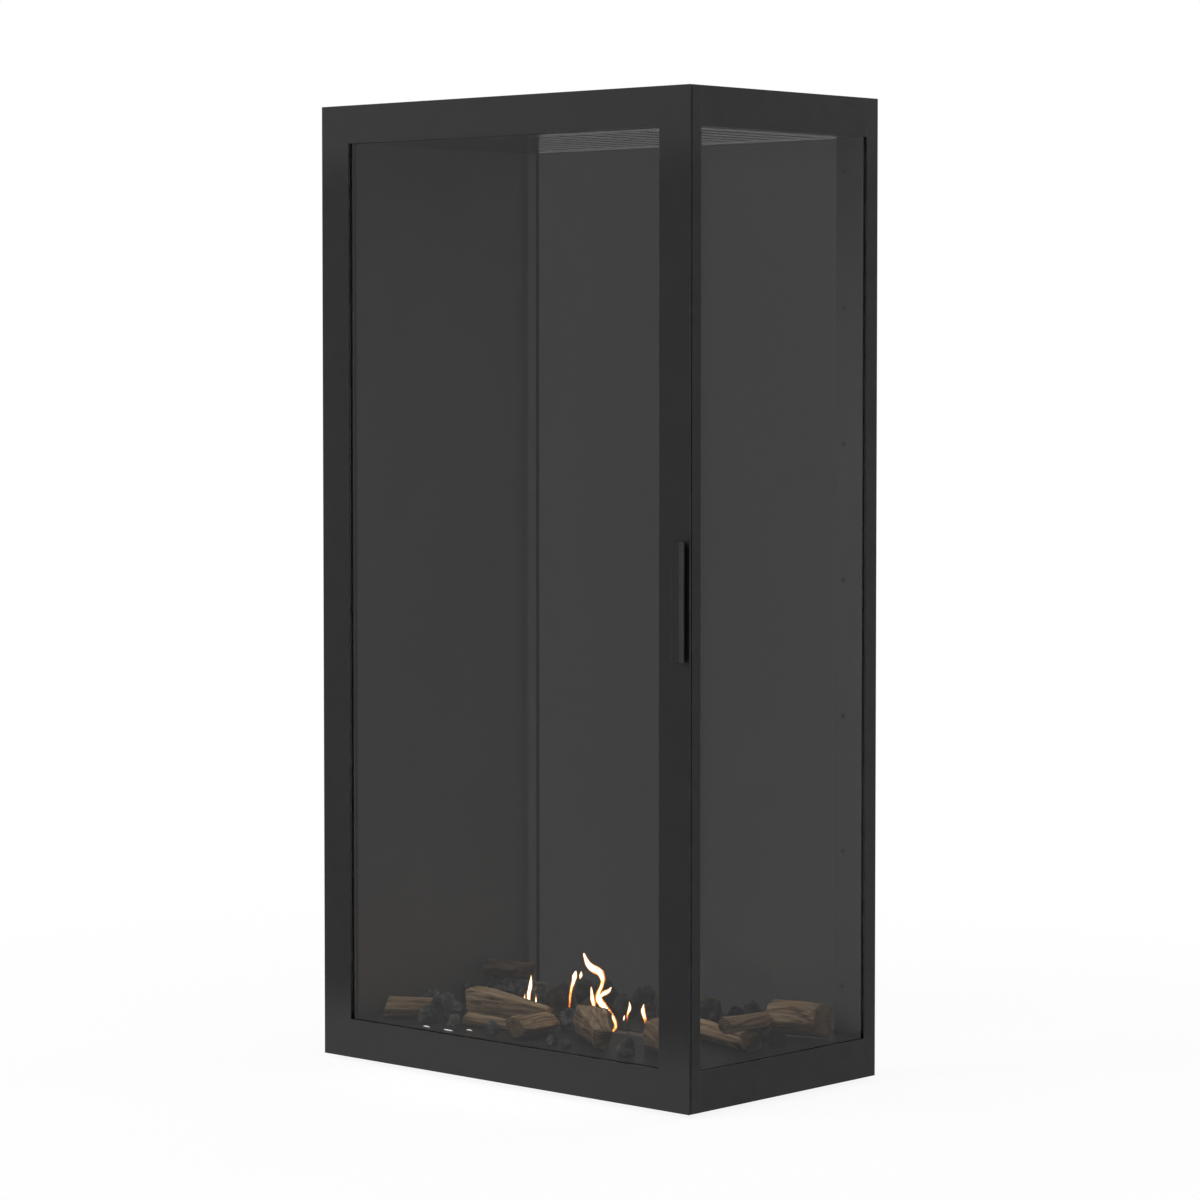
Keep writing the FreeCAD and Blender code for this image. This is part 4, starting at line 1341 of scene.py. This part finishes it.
@dataclass(frozen=True)
class Tongue:
    """One flame: x, height, width and heat of points along its middle, from its foot to its tip."""

    line: Sequence[tuple[float, float, float, float]]
    y: float = 0.005

    def at(self, share: float) -> tuple[float, float, float, float]:
        """Finds a place on the smooth curve through the line's points.

        Args:
            share: 0 at the foot and 1 at the tip.

        Returns:
            X, height, width and heat there.
        """
        last = len(self.line) - 1
        first = min(int(share * last), last - 1)
        t = share * last - first
        a, b, c, d = (self.line[min(max(first + step, 0), last)] for step in (-1, 0, 1, 2))
        return tuple(
            0.5 * (2 * q + (r - p) * t + (2 * p - 5 * q + 4 * r - s) * t * t
                   + (3 * q - p - 3 * r + s) * t ** 3)
            for p, q, r, s in zip(a, b, c, d)
        )


@dataclass
class Fire:
    """Flames over the burner slot, as crossed blades with soft edges."""

    tongues: Sequence[Tongue] = (
        Tongue(((0.022, 0.053, 0.003, 0.30), (0.032, 0.056, 0.006, 0.45), (0.039, 0.064, 0.008, 0.58),
                (0.036, 0.074, 0.009, 0.64), (0.023, 0.085, 0.013, 0.80), (0.009, 0.097, 0.016, 0.88),
                (0.006, 0.107, 0.012, 0.70), (0.012, 0.119, 0.009, 0.60), (0.014, 0.129, 0.011, 0.80),
                (0.008, 0.138, 0.016, 1.05), (-0.004, 0.142, 0.017, 1.10), (-0.014, 0.148, 0.012, 1.05),
                (-0.0225, 0.162, 0.004, 0.8))),
        Tongue(((0.004, 0.100, 0.006, 0.65), (0.015, 0.108, 0.010, 0.80), (0.025, 0.113, 0.009, 0.85),
                (0.0305, 0.119, 0.002, 0.6))),
        Tongue(((-0.002, 0.080, 0.004, 0.35), (-0.003, 0.090, 0.008, 0.65), (-0.006, 0.101, 0.009, 0.95),
                (-0.008, 0.1155, 0.002, 0.6))),
        Tongue(((-0.052, 0.052, 0.006, 0.2), (-0.051, 0.078, 0.006, 0.32), (-0.049, 0.096, 0.006, 0.5),
                (-0.046, 0.110, 0.007, 0.66), (-0.042, 0.121, 0.009, 0.95), (-0.040, 0.128, 0.010, 1.1),
                (-0.038, 0.135, 0.003, 0.8))),
        Tongue(((-0.030, 0.124, 0.001, 0.5), (-0.028, 0.130, 0.007, 1.05), (-0.0275, 0.136, 0.001, 0.6))),
        Tongue(((-0.128, 0.052, 0.006, 0.2), (-0.129, 0.074, 0.007, 0.5), (-0.131, 0.088, 0.008, 0.95),
                (-0.128, 0.102, 0.008, 1.1), (-0.1265, 0.112, 0.005, 0.95), (-0.126, 0.120, 0.001, 0.6))),
        Tongue(((-0.134, 0.066, 0.003, 0.35), (-0.139, 0.080, 0.006, 0.85), (-0.1385, 0.091, 0.001, 0.5))),
        Tongue(((-0.122, 0.066, 0.003, 0.35), (-0.117, 0.080, 0.005, 0.8), (-0.1165, 0.091, 0.001, 0.5))),
        Tongue(((0.062, 0.052, 0.004, 0.02), (0.061, 0.072, 0.005, 0.10), (0.061, 0.082, 0.005, 0.45),
                (0.066, 0.093, 0.007, 0.9), (0.065, 0.102, 0.001, 0.6))),
        Tongue(((0.094, 0.052, 0.004, 0.02), (0.096, 0.070, 0.006, 0.12), (0.095, 0.080, 0.007, 0.55),
                (0.091, 0.092, 0.009, 0.95), (0.0925, 0.102, 0.001, 0.6))),
        Tongue(((0.054, 0.074, 0.001, 0.6), (0.055, 0.078, 0.004, 0.95), (0.056, 0.082, 0.001, 0.6))),
    )
    blades: int = 3
    slim: float = 0.85
    rows: int = 60
    columns: int = 8
    nudge: float = 0.01
    middle: float = -0.01
    snuffed: float = 0.036
    keep: float = 0.03

    def build(self) -> None:
        """Makes the flames over each half of the slot as one piece."""
        halves: dict[str, list[Tongue]] = {"left": [], "right": []}
        for tongue in self.tongues:
            halves["left" if tongue.line[0][0] < self.middle else "right"].append(tongue)
        for side, tongues in halves.items():
            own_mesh(self.half(side, tongues))

    def half(self, side: str, tongues: Sequence[Tongue]) -> bpy.types.Object:
        """Makes the flames of one half of the slot.

        Args:
            side: left or right.
            tongues: its flames.

        Returns:
            The piece.
        """
        points: list[Vector] = []
        faces: list[Face] = []
        places: list[Range] = []
        for tongue in tongues:
            for blade in range(self.blades):
                faces += quads(self.rows + 1, self.columns + 1, len(points), closed=False)
                self.blade(tongue, math.pi * blade / self.blades, points, places)
        mesh = mesh_from(f"flames_{side}_form", points, faces)
        layer = mesh.uv_layers.new(name="blade")
        for loop in mesh.loops:
            layer.uv[loop.index].vector = places[loop.vertex_index]
        return new_piece(f"flames_{side}", mesh, [BLAZE], Body.CASE)

    def blade(self, tongue: Tongue, turn: float, points: list[Vector], places: list[Range]) -> None:
        """Adds one blade of a flame.

        Args:
            tongue: the flame.
            turn: the blade's turn about the flame's line.
            points: the mesh's points so far.
            places: their place across the blade, 0 to 1, and their heat.
        """
        for r in range(self.rows + 1):
            share = r / self.rows
            x, z, wide, heat = tongue.at(share)
            before, after = tongue.at(max(share - self.nudge, 0)), tongue.at(min(share + self.nudge, 1))
            run = Vector((after[0] - before[0], 0, after[1] - before[1])).normalized()
            across = Vector((run.z, 0, -run.x)) * math.cos(turn) + Vector((0, 1, 0)) * math.sin(turn)
            for c in range(self.columns + 1):
                points.append(Vector((x, tongue.y, z)) + across * wide * self.slim * (c / self.columns - 0.5))
                places.append((c / self.columns, heat))


@dataclass
class PaintedGlintStrands:
    """Short glowing strands on the front of the hearth, which paint glints of light there: x, y and length of
    each.
    """

    strands: Sequence[tuple[float, float, float]] = (
        (-0.170, -0.1650, 0.014), (-0.126, -0.1660, 0.018), (-0.1395, -0.1472, 0.008),
        (-0.103, -0.1460, 0.012),
    )
    radius: float = 0.0007
    tip: float = 0.25
    taper: float = 0.6
    rings: int = 12
    sides: int = 10
    sway: float = 0.0006

    def build(self) -> bpy.types.Object:
        """Makes the strands as one piece that lies on the hearth.

        Returns:
            The piece.
        """
        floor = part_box("hearth_plate")[1][2]
        skin = joined(self.strand(*strand, floor, seed) for seed, strand in enumerate(self.strands))
        return new_piece("painted_glint_strands", mesh_from("ember_strands_form", *skin), [GLINT_GLOW], Body.CASE)

    def strand(self, x: float, y: float, long: float, floor: float, seed: int) -> Skin:
        """Makes one strand.

        Args:
            x: place of its middle.
            y: place of its middle.
            long: its length.
            floor: height of the hearth under it.
            seed: the strand's number, which sets its bend.

        Returns:
            Points and faces.
        """
        rings = []
        for r in range(self.rings + 1):
            share = r / self.rings
            wide = self.radius * (self.tip + (1 - self.tip) * math.sin(math.pi * share) ** self.taper)
            bend = self.sway * math.sin(5 * share + 2 * seed)
            middle = Vector((x + long * (share - 0.5), y + bend, floor + wide))
            rings.append([middle + Vector((0, math.cos(t), math.sin(t))) * wide for t in turns(self.sides)])
        return tube(rings)


@dataclass
class Lamp:
    """One lamp of the studio, which mirrors don't show. Its size is an area's side or a bulb's radius."""

    name: str
    kind: LampKind
    place: Place
    power: float
    size: float
    aim: Place | None = None
    colour: Colour = grey(1.0)
    cone: float = 36.0
    blend: float = 0.6

    def build(self) -> None:
        """Hangs the lamp and turns it to its aim, or straight down."""
        data = bpy.data.lights.new(self.name, self.kind.value)
        data.energy, data.color = self.power, self.colour
        if self.kind is LampKind.AREA:
            data.size = self.size
        else:
            data.shadow_soft_size = self.size
        if self.kind is LampKind.SPOT:
            data.spot_size, data.spot_blend = math.radians(self.cone), self.blend
        lamp = link(bpy.data.objects.new(self.name, data))
        lamp.location = self.place
        lamp.visible_glossy = False
        if self.aim:
            lamp.rotation_euler = (Vector(self.aim) - lamp.location).to_track_quat("-Z", "Y").to_euler()


@dataclass
class Studio:
    """Floor, surroundings, lamps and camera."""

    eye: Place = (3.7449, -4.0793, 1.0063)
    turn: float = 42.450
    pitch: float = 2.613
    lens: float = 117.452
    sensor: float = 36.0
    shift: float = -0.05
    ambient: float = 0.55
    floor_reach: float = 14.0
    aim: Place = (0.0, 0.0, 0.6)
    area_lamps: Sequence[tuple[str, Place, float]] = (
        ("key", (-1.2, -3.6, 3.2), 130.0), ("side", (3.6, -0.6, 2.6), 3.0), ("back", (0.6, 3.4, 2.8), 60.0),
    )
    area_size: float = 2.4
    fire_places: Sequence[Place] = ((-0.12, 0.005, 0.13), (0.01, 0.005, 0.17), (0.08, 0.005, 0.13))
    fire_power: float = 0.10
    fire_size: float = 0.02
    fire_colour: Colour = (1.0, 0.66, 0.38)
    spot_place: Place = (0.01, 0.0, 1.29)
    spot_power: float = 45.0
    spot_size: float = 0.08

    def build(self) -> None:
        """Sets up everything round the object."""
        self.floor()
        self.surroundings()
        for name, place, power in self.area_lamps:
            Lamp(name, LampKind.AREA, place, power, self.area_size, self.aim).build()
        for order, place in enumerate(self.fire_places):
            Lamp(f"fire_{order}", LampKind.POINT, place, self.fire_power, self.fire_size,
                 colour=self.fire_colour).build()
        Lamp("hearth_spot", LampKind.SPOT, self.spot_place, self.spot_power, self.spot_size).build()
        self.camera()
        bpy.context.scene.view_settings.view_transform = "Standard"

    def floor(self) -> None:
        """Wide pale floor under the feet."""
        far = self.floor_reach
        corners = [(-far, -far, 0), (far, -far, 0), (far, far, 0), (-far, far, 0)]
        mesh = mesh_from("floor", corners, [(0, 1, 2, 3)], smooth=False)
        mesh.materials.append(FLOOR_WHITE.material())
        link(bpy.data.objects.new("floor", mesh))

    def surroundings(self) -> None:
        """White all round for what is seen, softer light for what is lit."""
        world = bpy.data.worlds.new("studio")
        bpy.context.scene.world = world
        graph = NodeGraph(world)
        path = graph.add("LightPath").node.outputs
        seen = path["Is Camera Ray"]
        for mirrored in ("Is Glossy Ray", "Is Transmission Ray"):
            seen = graph.math("MAXIMUM", seen, path[mirrored])
        level = graph.add("MapRange", {"Value": seen, "To Min": self.ambient, "To Max": 1.0})
        graph.close("World", graph.add("Background", {"Color": WHITE, "Strength": level}))

    def camera(self) -> None:
        """Camera at the photograph's angle."""
        data = bpy.data.cameras.new("camera")
        data.lens, data.sensor_width, data.shift_y = self.lens, self.sensor, self.shift
        camera = link(bpy.data.objects.new("camera", data))
        camera.location = self.eye
        camera.rotation_euler = (math.radians(90 - self.pitch), 0, math.radians(self.turn))
        bpy.context.scene.camera = camera


def main() -> None:
    """Builds the fireplace piece by piece, then the studio."""
    logging.basicConfig(level=logging.INFO, format="%(name)s: %(message)s")
    Door().build()
    Case().build()
    Burner().build()
    logs = sorted(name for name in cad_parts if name.startswith("log_"))
    for seed, name in enumerate(logs):
        SplitLog(name, seed, DARK_LOGS.get(name, LogLook.SPLIT)).build()
    Coals("coals_front", CHAR).build()
    Coals("coals_rear", SHADED_CHAR).build()
    Fire().build()
    # Glowing strands that paint glints on the hearth's front edge
    PaintedGlintStrands().build()
    Studio().build()


if __name__ == "__main__":
    main()
